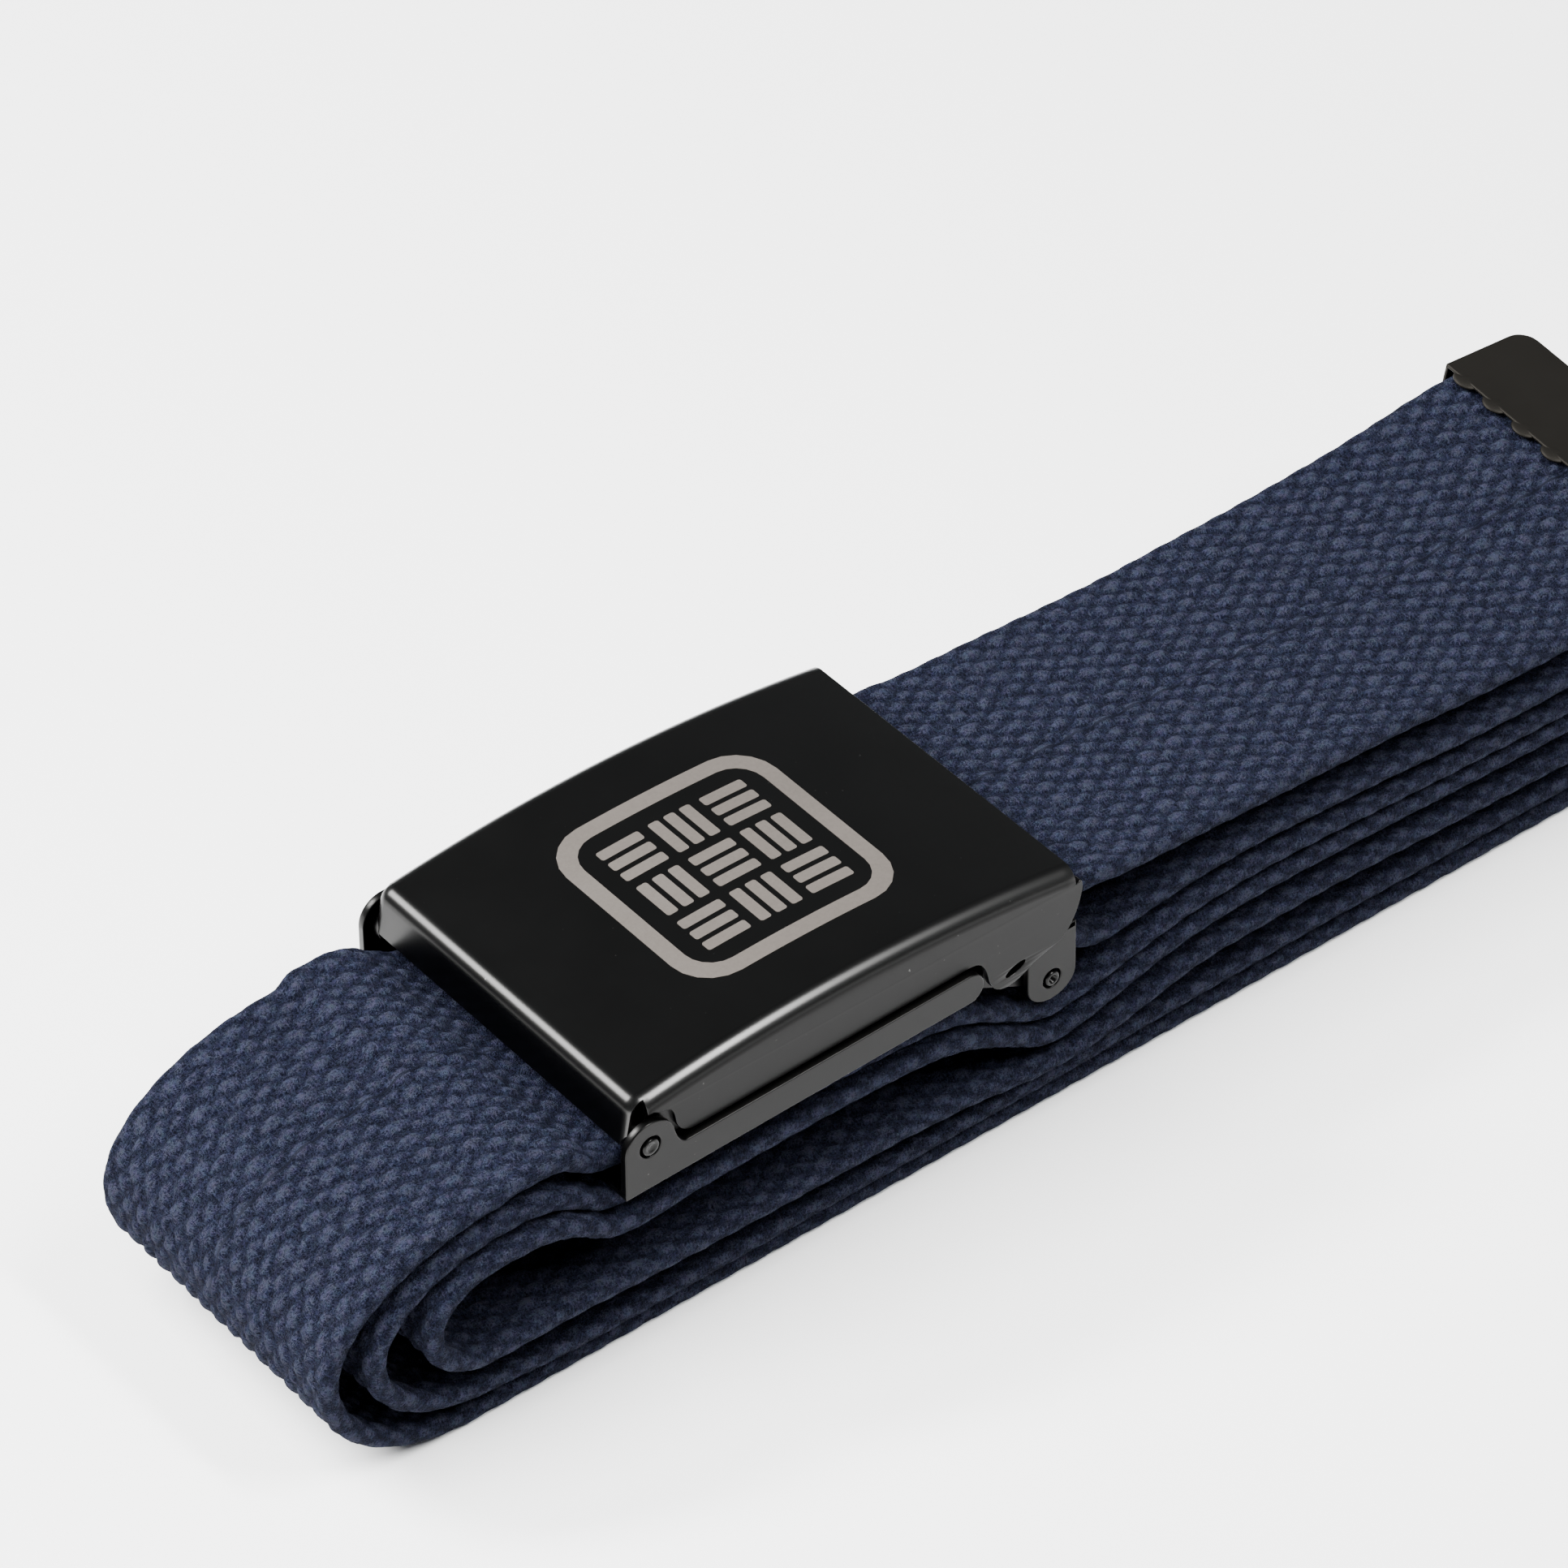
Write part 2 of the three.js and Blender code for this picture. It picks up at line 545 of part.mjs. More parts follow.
// Lid: an arched channel with a turned-down front lip, rear cheeks and two hinge tabs.
function lidGeometry() {
  const t = plateThickness;
  const earEnd = hingeX + earRadius;
  const cheekFront = railEnd + turnGap;
  const cheekLength = lidRear - cheekFront;
  const flange = lidTop - rearFoot;
  const frontFoot = flangeFoot(earEnd + earRadius);
  const passRise = lidTop - frontFoot;
  const above = lidTop + lidArch * 2;
  const side = new THREE.Shape();
  side.moveTo(lidFront + lidBend, above);
  side.lineTo(lidFront + lidBend, lidTop - lidBend);
  side.lineTo(hingeX + pinRadius, lidTop - lidBend);
  addCurves(side, earPassRows, (u) => earEnd + u * earRadius, (u) => frontFoot + u * passRise);
  side.lineTo(cheekFront - lidBend, flangeFoot(cheekFront - lidBend));
  addCurves(side, cheekRows, (u) => cheekFront + u * cheekLength, (u) => rearFoot - u * cheekDrop);
  side.quadraticCurveTo(lidRear + rearSwell / 2, rearFoot - t, lidRear + rearSwell, lidTop - flange / 2);
  side.quadraticCurveTo(lidRear + rearSwell, lidTop - t, lidRear, lidTop);
  side.lineTo(lidRear, above);
  const slot = new THREE.Path();
  const slotX = cheekFront + cheekLength * slotPlace.along;
  const slotZ = rearFoot - cheekDrop * slotPlace.down;
  slot.absellipse(slotX, slotZ, slotLength / 2, slotHeight / 2, 0, Math.PI * 2, false, slotTurn);
  side.holes.push(slot);
  const lip = new THREE.Shape();
  const lapX = lidFront + lidBend + lipLap;
  const lapTop = archTop(lapX) + lipProud;
  lip.moveTo(lapX, lapTop);
  lip.quadraticCurveTo(lidFront, lidTop, lidFront, lidTop - lidBend);
  lip.lineTo(lidFront - lipLean, lidTop - lipDepth);
  lip.lineTo(lidFront - lipLean + t, lidTop - lipDepth);
  lip.lineTo(lidFront + t, lidTop - lidBend);
  lip.quadraticCurveTo(lidFront + t, lidTop - t, lapX, lapTop - t);
  const tab = new THREE.Shape();
  const tabRadius = pinRadius + pinGap + tabWall;
  tab.moveTo(hingeX, hingeZ - tabRadius);
  tab.lineTo(earEnd + tabReach, rearFoot + turnGap);
  tab.lineTo(earEnd + tabReach, lidTop - t);
  tab.lineTo(hingeX + pinRadius, lidTop - t);
  tab.lineTo(hingeX, hingeZ + tabRadius);
  tab.absarc(hingeX, hingeZ, tabRadius, Math.PI / 2, Math.PI * 1.5, false);
  const hole = new THREE.Path();
  hole.absarc(hingeX, hingeZ, pinRadius + pinGap, 0, Math.PI * 2, false);
  tab.holes.push(hole);
  const tabOuter = frameHalf - plateThickness - turnGap;
  const channel = lidSweep(0).subtract(lidSweep(t));
  const cut = channel.intersect(toSolid(slab(side, -lidHalf, lidHalf)));
  const solid = cut
    .add(toSolid(slab(lip, -(lidHalf - t), lidHalf - t)))
    .add(bothSides((a, b) => toSolid(slab(tab, a, b)), tabOuter - t, tabOuter));
  return toGeometry(solid);
}

// Clamp: a barrel on its pin with a plate that slopes up to the frame's underside.
function clampGeometry() {
  const edge = floorUnder(clampFront) - layerGap;
  const tip = new THREE.Vector2(clampFront, edge - plateThickness);
  const lean = Math.atan2(tip.y - clampPinZ, tip.x - clampPinX);
  const shape = new THREE.Shape();
  shape.moveTo(tip.x, edge);
  shape.lineTo(tip.x, tip.y);
  shape.absarc(clampPinX, clampPinZ, clampBarrel, lean + Math.PI / 2, lean + Math.PI * 1.5, false);
  const hole = new THREE.Path();
  hole.absarc(clampPinX, clampPinZ, clampPinRadius + pinGap, 0, Math.PI * 2, false);
  shape.holes.push(hole);
  return slab(shape, -(rearEarInner - layerGap), rearEarInner - layerGap);
}

// Tip: a folded metal cap with rounded corners, open towards the web.
function tipGeometry() {
  const gap = layerGap;
  const half = webWidth / 2 + gap + tipWall;
  const high = webThickness + 2 * (gap + tipWall);
  const plan = new THREE.Shape();
  plan.moveTo(0, -half);
  plan.lineTo(tipLength - tipRound, -half);
  plan.absarc(tipLength - tipRound, -half + tipRound, tipRound, -Math.PI / 2, 0, false);
  plan.lineTo(tipLength, half - tipRound);
  plan.absarc(tipLength - tipRound, half - tipRound, tipRound, 0, Math.PI / 2, false);
  plan.lineTo(0, half);
  const cap = new THREE.ExtrudeGeometry(plan, { depth: high, bevelEnabled: false, curveSegments: 6 });
  cap.translate(0, 0, -high / 2);
  const reach = tipCover + gap;
  const room = new THREE.BoxGeometry(reach * 2, webWidth + 2 * gap, webThickness + 2 * gap);
  return toGeometry(toSolid(cap).subtract(toSolid(room)));
}

function piece(name, geometry, color, roughness, metalness) {
  const material = new THREE.MeshStandardMaterial({ color, roughness, metalness });
  const mesh = new THREE.Mesh(geometry, material);
  mesh.name = name;
  return mesh;
}

const navy = 0x2b3350;
const gunmetal = 0x1a1b1d;
const darkSteel = 0x2a2725;
const route = webRoute();
const freePoints = Math.ceil((webEndX - buckleStart) / webStep);
const tip = piece('belt_tip', tipGeometry(), darkSteel, 0.5, 0.6);
tip.position.set(tipStart, 0, freeWebHeight(tipStart));
tip.rotation.set(-twistAt(webEndX), tipDip * degrees, 0, 'YXZ');

const clampPinHalf = rearEarOuter + pinProud;
const belt = new THREE.Group();
belt.add(
  piece('web_strap', webGeometry(route, freePoints), navy, 0.95, 0),
  piece('buckle_frame', frameGeometry(), gunmetal, 0.35, 0.8),
  piece('buckle_lid', lidGeometry(), gunmetal, 0.3, 0.8),
  piece('hinge_pin', pin(hingeX, hingeZ, pinRadius, frameHalf + pinProud), gunmetal, 0.35, 0.8),
  piece('clamp_plate', clampGeometry(), gunmetal, 0.4, 0.8),
  piece('clamp_pin', pin(clampPinX, clampPinZ, clampPinRadius, clampPinHalf), gunmetal, 0.35, 0.8),
  tip,
);
const extent = new THREE.Box3().setFromObject(belt);
belt.position.x = -(extent.min.x + extent.max.x) / 2;

export default belt;
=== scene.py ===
# Canvas web belt with a flip-lid buckle, folded flat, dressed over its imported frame.
# Lengths are in millimetres while a piece is drawn, with X = 0 at the left folds, and every
# piece is put in the frame's metres when its mesh is made.
import math
import bmesh
import bpy
import numpy as np
from mathutils import Matrix, Vector
from mathutils.geometry import tessellate_polygon


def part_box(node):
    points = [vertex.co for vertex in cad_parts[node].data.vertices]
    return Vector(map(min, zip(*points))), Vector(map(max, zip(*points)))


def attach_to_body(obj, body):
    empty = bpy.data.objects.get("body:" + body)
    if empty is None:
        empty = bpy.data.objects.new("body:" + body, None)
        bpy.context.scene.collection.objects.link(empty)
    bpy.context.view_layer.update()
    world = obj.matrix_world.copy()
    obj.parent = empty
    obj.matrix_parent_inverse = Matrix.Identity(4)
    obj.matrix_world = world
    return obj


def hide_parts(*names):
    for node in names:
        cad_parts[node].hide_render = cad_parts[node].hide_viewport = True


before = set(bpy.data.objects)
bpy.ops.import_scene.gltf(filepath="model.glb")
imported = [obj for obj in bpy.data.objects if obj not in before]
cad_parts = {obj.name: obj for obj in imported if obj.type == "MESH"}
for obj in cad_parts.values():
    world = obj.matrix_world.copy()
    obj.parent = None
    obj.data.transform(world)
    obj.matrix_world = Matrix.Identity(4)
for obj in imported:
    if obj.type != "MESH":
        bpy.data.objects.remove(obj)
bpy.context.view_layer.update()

bundle = {
    "length": 190.0,      # left folds to right folds
    "middle": 96.74034,   # the frame's X = 0 is this far from the left folds
    "layerGap": 0.3,
    "foldLoft": 10.0,
    "sideDrift": 2.2,
    "freeEndTwist": 6.0,
    "driftStart": 0.1,
    "driftEnd": 0.95,
    "twistStart": 0.66,
}
web = {
    "width": 38.0,
    "thickness": 2.5,
    "edgeRound": 1.1,
    "columnPitch": 1.1987,   # one warp column across the web
    "weftPitch": 2.0,        # one pick along the web
    "relief": 0.48,          # from the ground of the weave to the top of a float
    "sink": 0.42,            # the ground lies this far under the smooth surface
    "edgeShare": 0.16,       # how much of the relief is left on the selvedges
    "selvedge": 3.0,         # the relief fades over this much of the width
    "farLift": 1.5,          # the far edge stands up by this much before the buckle
    "nearShare": 0.3,        # and the near edge by this share of it
    "liftStart": 10.0,
    "liftFull": 27.0,
    "liftHolds": 3.8,        # it is held until this far before the hinge pin
    "liftEnds": 1.2,
    "underLid": 20.0,        # its free end's mesh stops this far before the lid's rear
    "pastFold": 40.0,        # and the front fold's this far along the lowest layer
}

# Air under each layer at places along the bundle, as shares of the fold loft.
airColumns = ("middleReturn", "innerReturn", "innerRun", "middleRun", "fixedRun", "freeWeb")
airRows = np.array([
    (0.105, 0.09, 0.26, 0.92, 0.00, 0.00, 0.00),
    (0.137, 0.04, 0.31, 0.90, 0.00, 0.00, 0.02),
    (0.158, 0.01, 0.34, 0.76, 0.00, 0.00, 0.12),
    (0.184, 0.00, 0.32, 0.50, 0.00, 0.00, 0.14),
    (0.237, 0.00, 0.28, 0.57, 0.00, 0.00, 0.14),
    (0.310, 0.00, 0.24, 0.62, 0.00, 0.00, 0.14),
    (0.368, 0.00, 0.22, 0.60, 0.00, 0.00, 0.14),
    (0.400, 0.00, 0.18, 0.58, 0.01, 0.00, 0.14),
    (0.426, 0.00, 0.14, 0.48, 0.01, 0.05, 0.60),
    (0.452, 0.00, 0.06, 0.30, 0.01, 0.10, 0.60),
    (0.479, 0.00, 0.00, 0.09, 0.03, 0.25, 0.65),
    (0.510, 0.01, 0.02, 0.12, 0.03, 0.18, 0.60),
    (0.532, 0.02, 0.08, 0.16, 0.01, 0.12, 0.50),
    (0.558, 0.03, 0.18, 0.17, 0.00, 0.08, 0.40),
    (0.590, 0.04, 0.28, 0.15, 0.00, 0.06, 0.31),
    (0.632, 0.05, 0.29, 0.16, 0.01, 0.06, 0.23),
    (0.684, 0.06, 0.28, 0.13, 0.01, 0.06, 0.22),
    (0.737, 0.05, 0.24, 0.13, 0.00, 0.08, 0.25),
    (0.789, 0.04, 0.20, 0.13, 0.00, 0.07, 0.28),
    (0.868, 0.03, 0.15, 0.14, 0.00, 0.11, 0.31),
    (0.947, 0.03, 0.15, 0.16, 0.00, 0.17, 0.36),
    (1.000, 0.03, 0.15, 0.16, 0.00, 0.17, 0.36),
])
airSlopes = np.zeros_like(airRows)
airSlopes[1:-1] = (airRows[2:] - airRows[:-2]) / (airRows[2:, :1] - airRows[:-2, :1])
# inset, and how far the curve reaches along the bundle, as shares of its length
leftFolds = {"outer": (0.0, 0.116, 0.088), "middle": (0.0265, 0.084, 0.076), "inner": (0.058, 0.042, 0.037)}
rightFolds = {"outer": 0.0, "inner": 0.029, "upper": 0.006}
outerRightDepth = 0.042
drift = {
    "freeWeb": (0.0, 0.0), "outerReturn": (0.0, -0.2), "innerRun": (-1.0, -0.3), "innerReturn": (-1.0, -0.5),
    "middleReturn": (-0.4, -0.3), "middleRun": (-0.4, -0.35), "fixedRun": (0.0, -0.45),
}

halfWeb = web["thickness"] / 2
layerPitch = web["thickness"] + bundle["layerGap"]


# Smooth steps and the heights of the stacked layers

def smoothStep(x, start, end):
    u = min(max((x - start) / (end - start), 0.0), 1.0)
    return u * u * (3 - 2 * u)


def blend(a, b, x, start, end):
    share = smoothStep(x, start, end)
    return a * (1 - share) + b * share


def tablePlace(x):
    marks = ((0.0, 0.0), (buckle["start"], 0.1832), (clampPinX, 0.48), (bundle["length"], 1.0))
    return float(np.interp(x, [m[0] for m in marks], [m[1] for m in marks]))


def airShares(x):
    place = min(max(tablePlace(x), airRows[0, 0]), airRows[-1, 0])
    i = min(int(np.searchsorted(airRows[:, 0], place, side="left")) - 1, len(airRows) - 2)
    i = max(i, 0)
    span = airRows[i + 1, 0] - airRows[i, 0]
    u = (place - airRows[i, 0]) / span
    share = (3 - 2 * u) * u * u
    ease = u * (1 - u) ** 2 * airSlopes[i] - u * u * (1 - u) * airSlopes[i + 1]
    return (airRows[i] * (1 - share) + airRows[i + 1] * share + ease * span)[1:]


def layerHeight(layer, x):
    height = halfWeb
    if layer == "outerReturn":
        return height
    air = airShares(x)
    for name, share in zip(airColumns, air):
        if not (name == "fixedRun" and x < fixedRunStart):
            height += layerPitch + max(share, 0.0) * bundle["foldLoft"]
        if name == layer:
            return height


def floorUnder(x):
    return frameBottom + (x - buckle["start"]) * rise


def webInFrame(x):
    return floorUnder(x) + buckle["plate"] + bundle["layerGap"] + halfWeb


def freeWebHeight(x):
    stacked = layerHeight("freeWeb", x)
    if x < hingeX:
        dipStart = buckle["start"] - buckle["webDips"]
        return blend(stacked, webInFrame(x), x, dipStart, buckle["start"] + buckle["webSettles"])
    leaveEnd = lidRear + buckle["webExit"]
    if x < leaveEnd:
        leaves = hingeX + buckle["railLength"] * buckle["webLeaves"]
        return blend(webInFrame(x), layerHeight("freeWeb", leaveEnd), x, leaves, leaveEnd)
    if x < tipStart:
        return stacked
    return layerHeight("freeWeb", tipStart) - (x - tipStart) * math.tan(tip["dip"])


def fixedRunHeight(x):
    clamped = clampPinZ + clamp["barrel"] + bundle["layerGap"] + halfWeb
    inside = max(clamped, floorUnder(x) - bundle["layerGap"] - halfWeb)
    if x <= clampPinX:
        return inside
    return blend(inside, layerHeight("fixedRun", x), x, clampPinX, clampPinX + clamp["fixedRise"])


def driftAt(layer, x):
    left, right = drift[layer]
    share = smoothStep(x, bundle["length"] * bundle["driftStart"], bundle["length"] * bundle["driftEnd"])
    return bundle["sideDrift"] * (left + (right - left) * share)


def twistAt(x):
    share = smoothStep(x, bundle["length"] * bundle["twistStart"], bundle["length"] * bundle["driftEnd"])
    return -math.radians(bundle["freeEndTwist"]) * share


def farLiftAt(x):
    falls = smoothStep(x, hingeX - web["liftHolds"], hingeX - web["liftEnds"])
    return web["farLift"] * (smoothStep(x, web["liftStart"], web["liftFull"]) - falls)


# The web's route from its tip, round the folds, to the clamp

def routeRun(height, aside, start, end):
    step = 0.8
    steps = max(int(abs(end - start) / step), 2)
    return [(x, height(x), aside(x)) for x in np.linspace(start, end, steps + 1)]


def routeFold(extreme, inward, first, last):
    points = []
    fewest, perMillimetre = 24, 5
    steps = max(fewest, int(abs(last[1] - first[1]) * perMillimetre))
    for i in range(1, steps):
        angle = math.pi * i / steps
        share = (1 - math.cos(angle)) / 2
        depth = abs((first[0] if angle < math.pi / 2 else last[0]) - extreme)
        points.append((
            extreme + inward * depth * (1 - math.sin(angle)),
            first[1] + (last[1] - first[1]) * share,
            first[2] + (last[2] - first[2]) * share,
        ))
    return points


def webRoute():
    size = bundle["length"]
    farX = size * bundle["driftEnd"]

    def left(name):
        inset, top, bottom = leftFolds[name]
        edge = halfWeb + inset * size
        return edge, edge + top * size, edge + bottom * size

    def right(name):
        return size - halfWeb - rightFolds[name] * size

    def roundDepth(lower, upper):
        return (layerHeight(upper, farX) - layerHeight(lower, farX)) / 2

    def fixedAside(x):
        return driftAt("fixedRun", size) * smoothStep(x, clampPinX, farX)

    def run(layer, start, end):
        return routeRun(lambda x: layerHeight(layer, x), lambda x: driftAt(layer, x), start, end)

    outer, middle, inner = left("outer"), left("middle"), left("inner")
    outerRight = right("outer") - outerRightDepth * size
    innerRight = right("inner") - roundDepth("middleReturn", "innerReturn")
    upperRight = right("upper") - roundDepth("middleRun", "fixedRun")
    runs = [
        routeRun(freeWebHeight, lambda x: 0.0, webEndX, outer[1]),
        run("outerReturn", outer[2], outerRight),
        run("innerRun", outerRight, inner[1]),
        run("innerReturn", inner[2], innerRight),
        run("middleReturn", innerRight, middle[2]),
        run("middleRun", middle[1], upperRight),
        routeRun(fixedRunHeight, fixedAside, upperRight, clampPinX - clamp["barrel"]),
    ]
    turns = [
        (outer[0], 1), (right("outer"), -1), (inner[0], 1),
        (right("inner"), -1), (middle[0], 1), (right("upper"), -1),
    ]
    route = list(runs[0])
    for (extreme, inward), before, after in zip(turns, runs[:-1], runs[1:]):
        route += routeFold(extreme, inward, before[-1], after[0]) + list(after)
    route = np.array(route)
    free = len(runs[0])
    twist = np.array([twistAt(x) if i < free else 0.0 for i, x in enumerate(route[:, 0])])
    raised = np.array([farLiftAt(x) if i < free else 0.0 for i, x in enumerate(route[:, 0])])
    lengths = np.concatenate([[0.0], np.cumsum(np.linalg.norm(np.diff(route, axis=0), axis=1))])
    # even steps, then a light smoothing that takes the kinks out where runs and folds meet
    step, kink, reach = 0.25, 0.6, 8
    even = np.linspace(0.0, lengths[-1], int(lengths[-1] / step) + 1)
    columns = [route[:, 0], route[:, 1], route[:, 2], twist, raised]
    points = np.stack([np.interp(even, lengths, column) for column in columns], 1)
    weights = np.exp(-0.5 * (np.arange(-reach, reach + 1) * step / kink) ** 2)
    weights /= weights.sum()
    padded = np.pad(points, ((reach, reach), (0, 0)), mode="reflect", reflect_type="odd")
    points = np.stack([np.convolve(column, weights, mode="valid") for column in padded.T], 1)
    return even, points


# Meshes, put in the frame's metres

def place(points):
    points = np.asarray(points, dtype=float).copy()
    points[..., 0] -= bundle["middle"]
    return points / 1000


def linked(name, data):
    piece = bpy.data.objects.new(name, data)
    bpy.context.scene.collection.objects.link(piece)
    return piece


def shadeSmooth(mesh):
    mesh.polygons.foreach_set("use_smooth", np.ones(len(mesh.polygons), bool))


def meshObject(name, points, faces):
    mesh = bpy.data.meshes.new(name)
    mesh.from_pydata(place(points).tolist(), [], faces)
    mesh.update()
    return linked(name, mesh)


def opened(*pieces):
    body = bmesh.new()
    for piece in pieces:
        body.from_mesh(piece.data)
    return body


def closed(body, mesh):
    body.to_mesh(mesh)
    body.free()
    return mesh


def plainMesh(piece):
    # takes the result of the live modifiers as the piece's own mesh
    graph = bpy.context.evaluated_depsgraph_get()
    result = piece.evaluated_get(graph)
    made = bpy.data.meshes.new_from_object(result, preserve_all_data_layers=True, depsgraph=graph)
    piece.modifiers.clear()
    old = piece.data
    piece.data = made
    bpy.data.meshes.remove(old)
    return piece


def joinPieces(name, pieces):
    mesh = closed(opened(*pieces), bpy.data.meshes.new(name))
    for piece in pieces:
        bpy.data.objects.remove(piece)
    return linked(name, mesh)


def softEdges(piece, width, segments=3, angle=35):
    # rounded edges with even shading on the flat faces
    bevel = piece.modifiers.new("edges", "BEVEL")
    bevel.width = width / 1000
    bevel.segments = segments
    bevel.limit_method = "ANGLE"
    bevel.angle_limit = math.radians(angle)
    bevel.harden_normals = False
    even = piece.modifiers.new("normals", "WEIGHTED_NORMAL")
    even.keep_sharp = True
    even.weight = 80
    shadeSmooth(piece.data)
    return plainMesh(piece)


def arc(cx, cz, radius, start, end, steps, squash=1.0):
    return [
        (cx + radius * math.cos(a), cz + radius * squash * math.sin(a))
        for a in np.linspace(start, end, steps + 1)
    ]


def curveTo(points, via, end, steps=8):
    start = points[-1]
    for u in np.linspace(0, 1, steps + 1)[1:]:
        points.append(tuple(
            (1 - u) ** 2 * s + 2 * u * (1 - u) * v + u * u * e for s, v, e in zip(start, via, end)
        ))


def fillLoops(loops):
    # triangles over an outline with holes
    return tessellate_polygon([[Vector((u, v, 0)) for u, v in loop] for loop in loops])


def slab(loops):
    # a flat plate's faces: both sides, with the second one's points after the first's, and its rims
    count = sum(len(loop) for loop in loops)
    faces = []
    for a, b, c in fillLoops(loops):
        faces += [(a, b, c), (c + count, b + count, a + count)]
    begin = 0
    for loop in loops:
        for i in range(len(loop)):
            a, b = begin + i, begin + (i + 1) % len(loop)
            faces.append((a, b, b + count, a + count))
        begin += len(loop)
    return faces


def plate(name, outline, holes, ends, bevel, turned=lambda point: point):
    # a flat plate in X and Z with holes, between two places across the belt
    loops = [outline] + holes
    points = [turned((x, y, z)) for y in sorted(ends) for loop in loops for x, z in loop]
    piece = meshObject(name, points, slab(loops))
    body = opened(piece)
    bmesh.ops.recalc_face_normals(body, faces=body.faces)
    bmesh.ops.dissolve_limit(body, angle_limit=0.01, verts=body.verts, edges=body.edges, delimit={"NORMAL"})
    closed(body, piece.data)
    return softEdges(piece, bevel)


def frameAxes(point):
    u, y, w = point
    c, s = math.cos(buckle["slope"]), math.sin(buckle["slope"])
    return (buckle["start"] + u * c - w * s, y, frameBottom + u * s + w * c)


def toFrameAxes(x, z):
    dx, dz = x - buckle["start"], z - frameBottom
    c, s = math.cos(buckle["slope"]), math.sin(buckle["slope"])
    return dx * c + dz * s, dz * c - dx * s


# Node trees: one socket class for shader and geometry maths

class Value:
    def __init__(self, tree, socket):
        self.tree = tree
        self.socket = socket

    def calculate(self, operation, *others):
        node = self.tree.nodes.new("ShaderNodeMath")
        node.operation = operation
        for entry, value in zip(node.inputs, (self, *others)):
            attach(self.tree, value, entry)
        return Value(self.tree, node.outputs[0])

    def __add__(self, other):
        return self.calculate("ADD", other)

    __radd__ = __add__

    def __mul__(self, other):
        return self.calculate("MULTIPLY", other)

    __rmul__ = __mul__

    def __sub__(self, other):
        return self.calculate("SUBTRACT", other)

    def __rsub__(self, other):
        return (self * -1) + other

    def __truediv__(self, other):
        return self.calculate("DIVIDE", other)

    def __pow__(self, other):
        return self.calculate("POWER", other)

    def fraction(self):
        return self.calculate("FRACT")

    def size(self):
        return self.calculate("ABSOLUTE")

    def atLeast(self, other):
        return self.calculate("MAXIMUM", other)

    def atMost(self, other):
        return self.calculate("MINIMUM", other)

    def root(self):
        return self.calculate("SQRT")

    def wave(self):
        return self.calculate("SINE")


def attach(tree, value, entry):
    if isinstance(value, Value):
        tree.links.new(value.socket, entry)
    elif value is not None:
        entry.default_value = value


class Maker:
    def __init__(self, tree):
        self.tree = tree

    def node(self, kind, settings=None, sockets=None, out=0):
        made = self.tree.nodes.new(kind)
        for key, value in (settings or {}).items():
            if key == "stops":
                ramp = made.color_ramp
                while len(ramp.elements) > 1:
                    ramp.elements.remove(ramp.elements[-1])
                ramp.elements[0].position, ramp.elements[0].color = value[0]
                for position, color in value[1:]:
                    ramp.elements.new(position).color = color
            else:
                setattr(made, key, value)
        for key, value in (sockets or {}).items():
            attach(self.tree, value, made.inputs[key])
        self.last = made
        return Value(self.tree, made.outputs[out]) if len(made.outputs) else None

    def ramp(self, factor, dark, light):
        stops = [(dark, rgb(0, 0, 0)), (light, rgb(1, 1, 1))]
        return self.node("ShaderNodeValToRGB", {"stops": stops}, {"Fac": factor}, out="Color")

    def noise(self, spot, scale, detail=2.0, rough=0.5, out=0):
        sockets = {"Vector": spot, "Scale": scale, "Detail": detail, "Roughness": rough}
        return self.node("ShaderNodeTexNoise", None, sockets, out=out)

    def point(self, x, y, z):
        return self.node("ShaderNodeCombineXYZ", None, {"X": x, "Y": y, "Z": z})

    def bump(self, height, strength, distance):
        sockets = {"Strength": strength, "Distance": distance, "Height": height}
        return self.node("ShaderNodeBump", None, sockets, out="Normal")

    def attribute(self, name, out="Fac"):
        return self.node("ShaderNodeAttribute", {"attribute_name": name}, out=out)

    def mixColors(self, factor, a, b, mode="MIX"):
        return self.node(
            "ShaderNodeMix", {"data_type": "RGBA", "blend_type": mode}, {0: factor, 6: a, 7: b}, out=2
        )


def newMaterial(name):
    material = bpy.data.materials.new(name)
    material.use_nodes = True
    material.node_tree.nodes.clear()
    return material, Maker(material.node_tree)


def closeMaterial(material, maker, sockets):
    shader = maker.node("ShaderNodeBsdfPrincipled", None, sockets)
    maker.node("ShaderNodeOutputMaterial", None, {"Surface": shader})
    return material


def rgb(r, g, b):
    return (r, g, b, 1.0)


def newTree(name, numbers, finish):
    # takes a shape, the named numbers and a material, and gives a shape
    tree = bpy.data.node_groups.new(name, "GeometryNodeTree")
    face = tree.interface
    face.new_socket("Geometry", in_out="INPUT", socket_type="NodeSocketGeometry")
    for number in numbers:
        face.new_socket(number, in_out="INPUT", socket_type="NodeSocketFloat")
    face.new_socket(finish, in_out="INPUT", socket_type="NodeSocketMaterial")
    face.new_socket("Geometry", in_out="OUTPUT", socket_type="NodeSocketGeometry")
    make = Maker(tree)
    make.node("NodeGroupInput")
    return tree, make, {s.name: Value(tree, s) for s in make.last.outputs}


def closeTree(make, shape, finish):
    real = make.node("GeometryNodeRealizeInstances", None, {"Geometry": shape})
    done = make.node("GeometryNodeSetMaterial", None, {"Geometry": real, "Material": finish})
    make.node("NodeGroupOutput", None, {"Geometry": done})


def applyTree(piece, tree, values):
    modifier = piece.modifiers.new(tree.name, "NODES")
    modifier.node_group = tree
    for item in tree.interface.items_tree:
        if item.item_type == "SOCKET" and item.in_out == "INPUT" and item.name in values:
            modifier[item.identifier] = values[item.name]
    return plainMesh(piece)


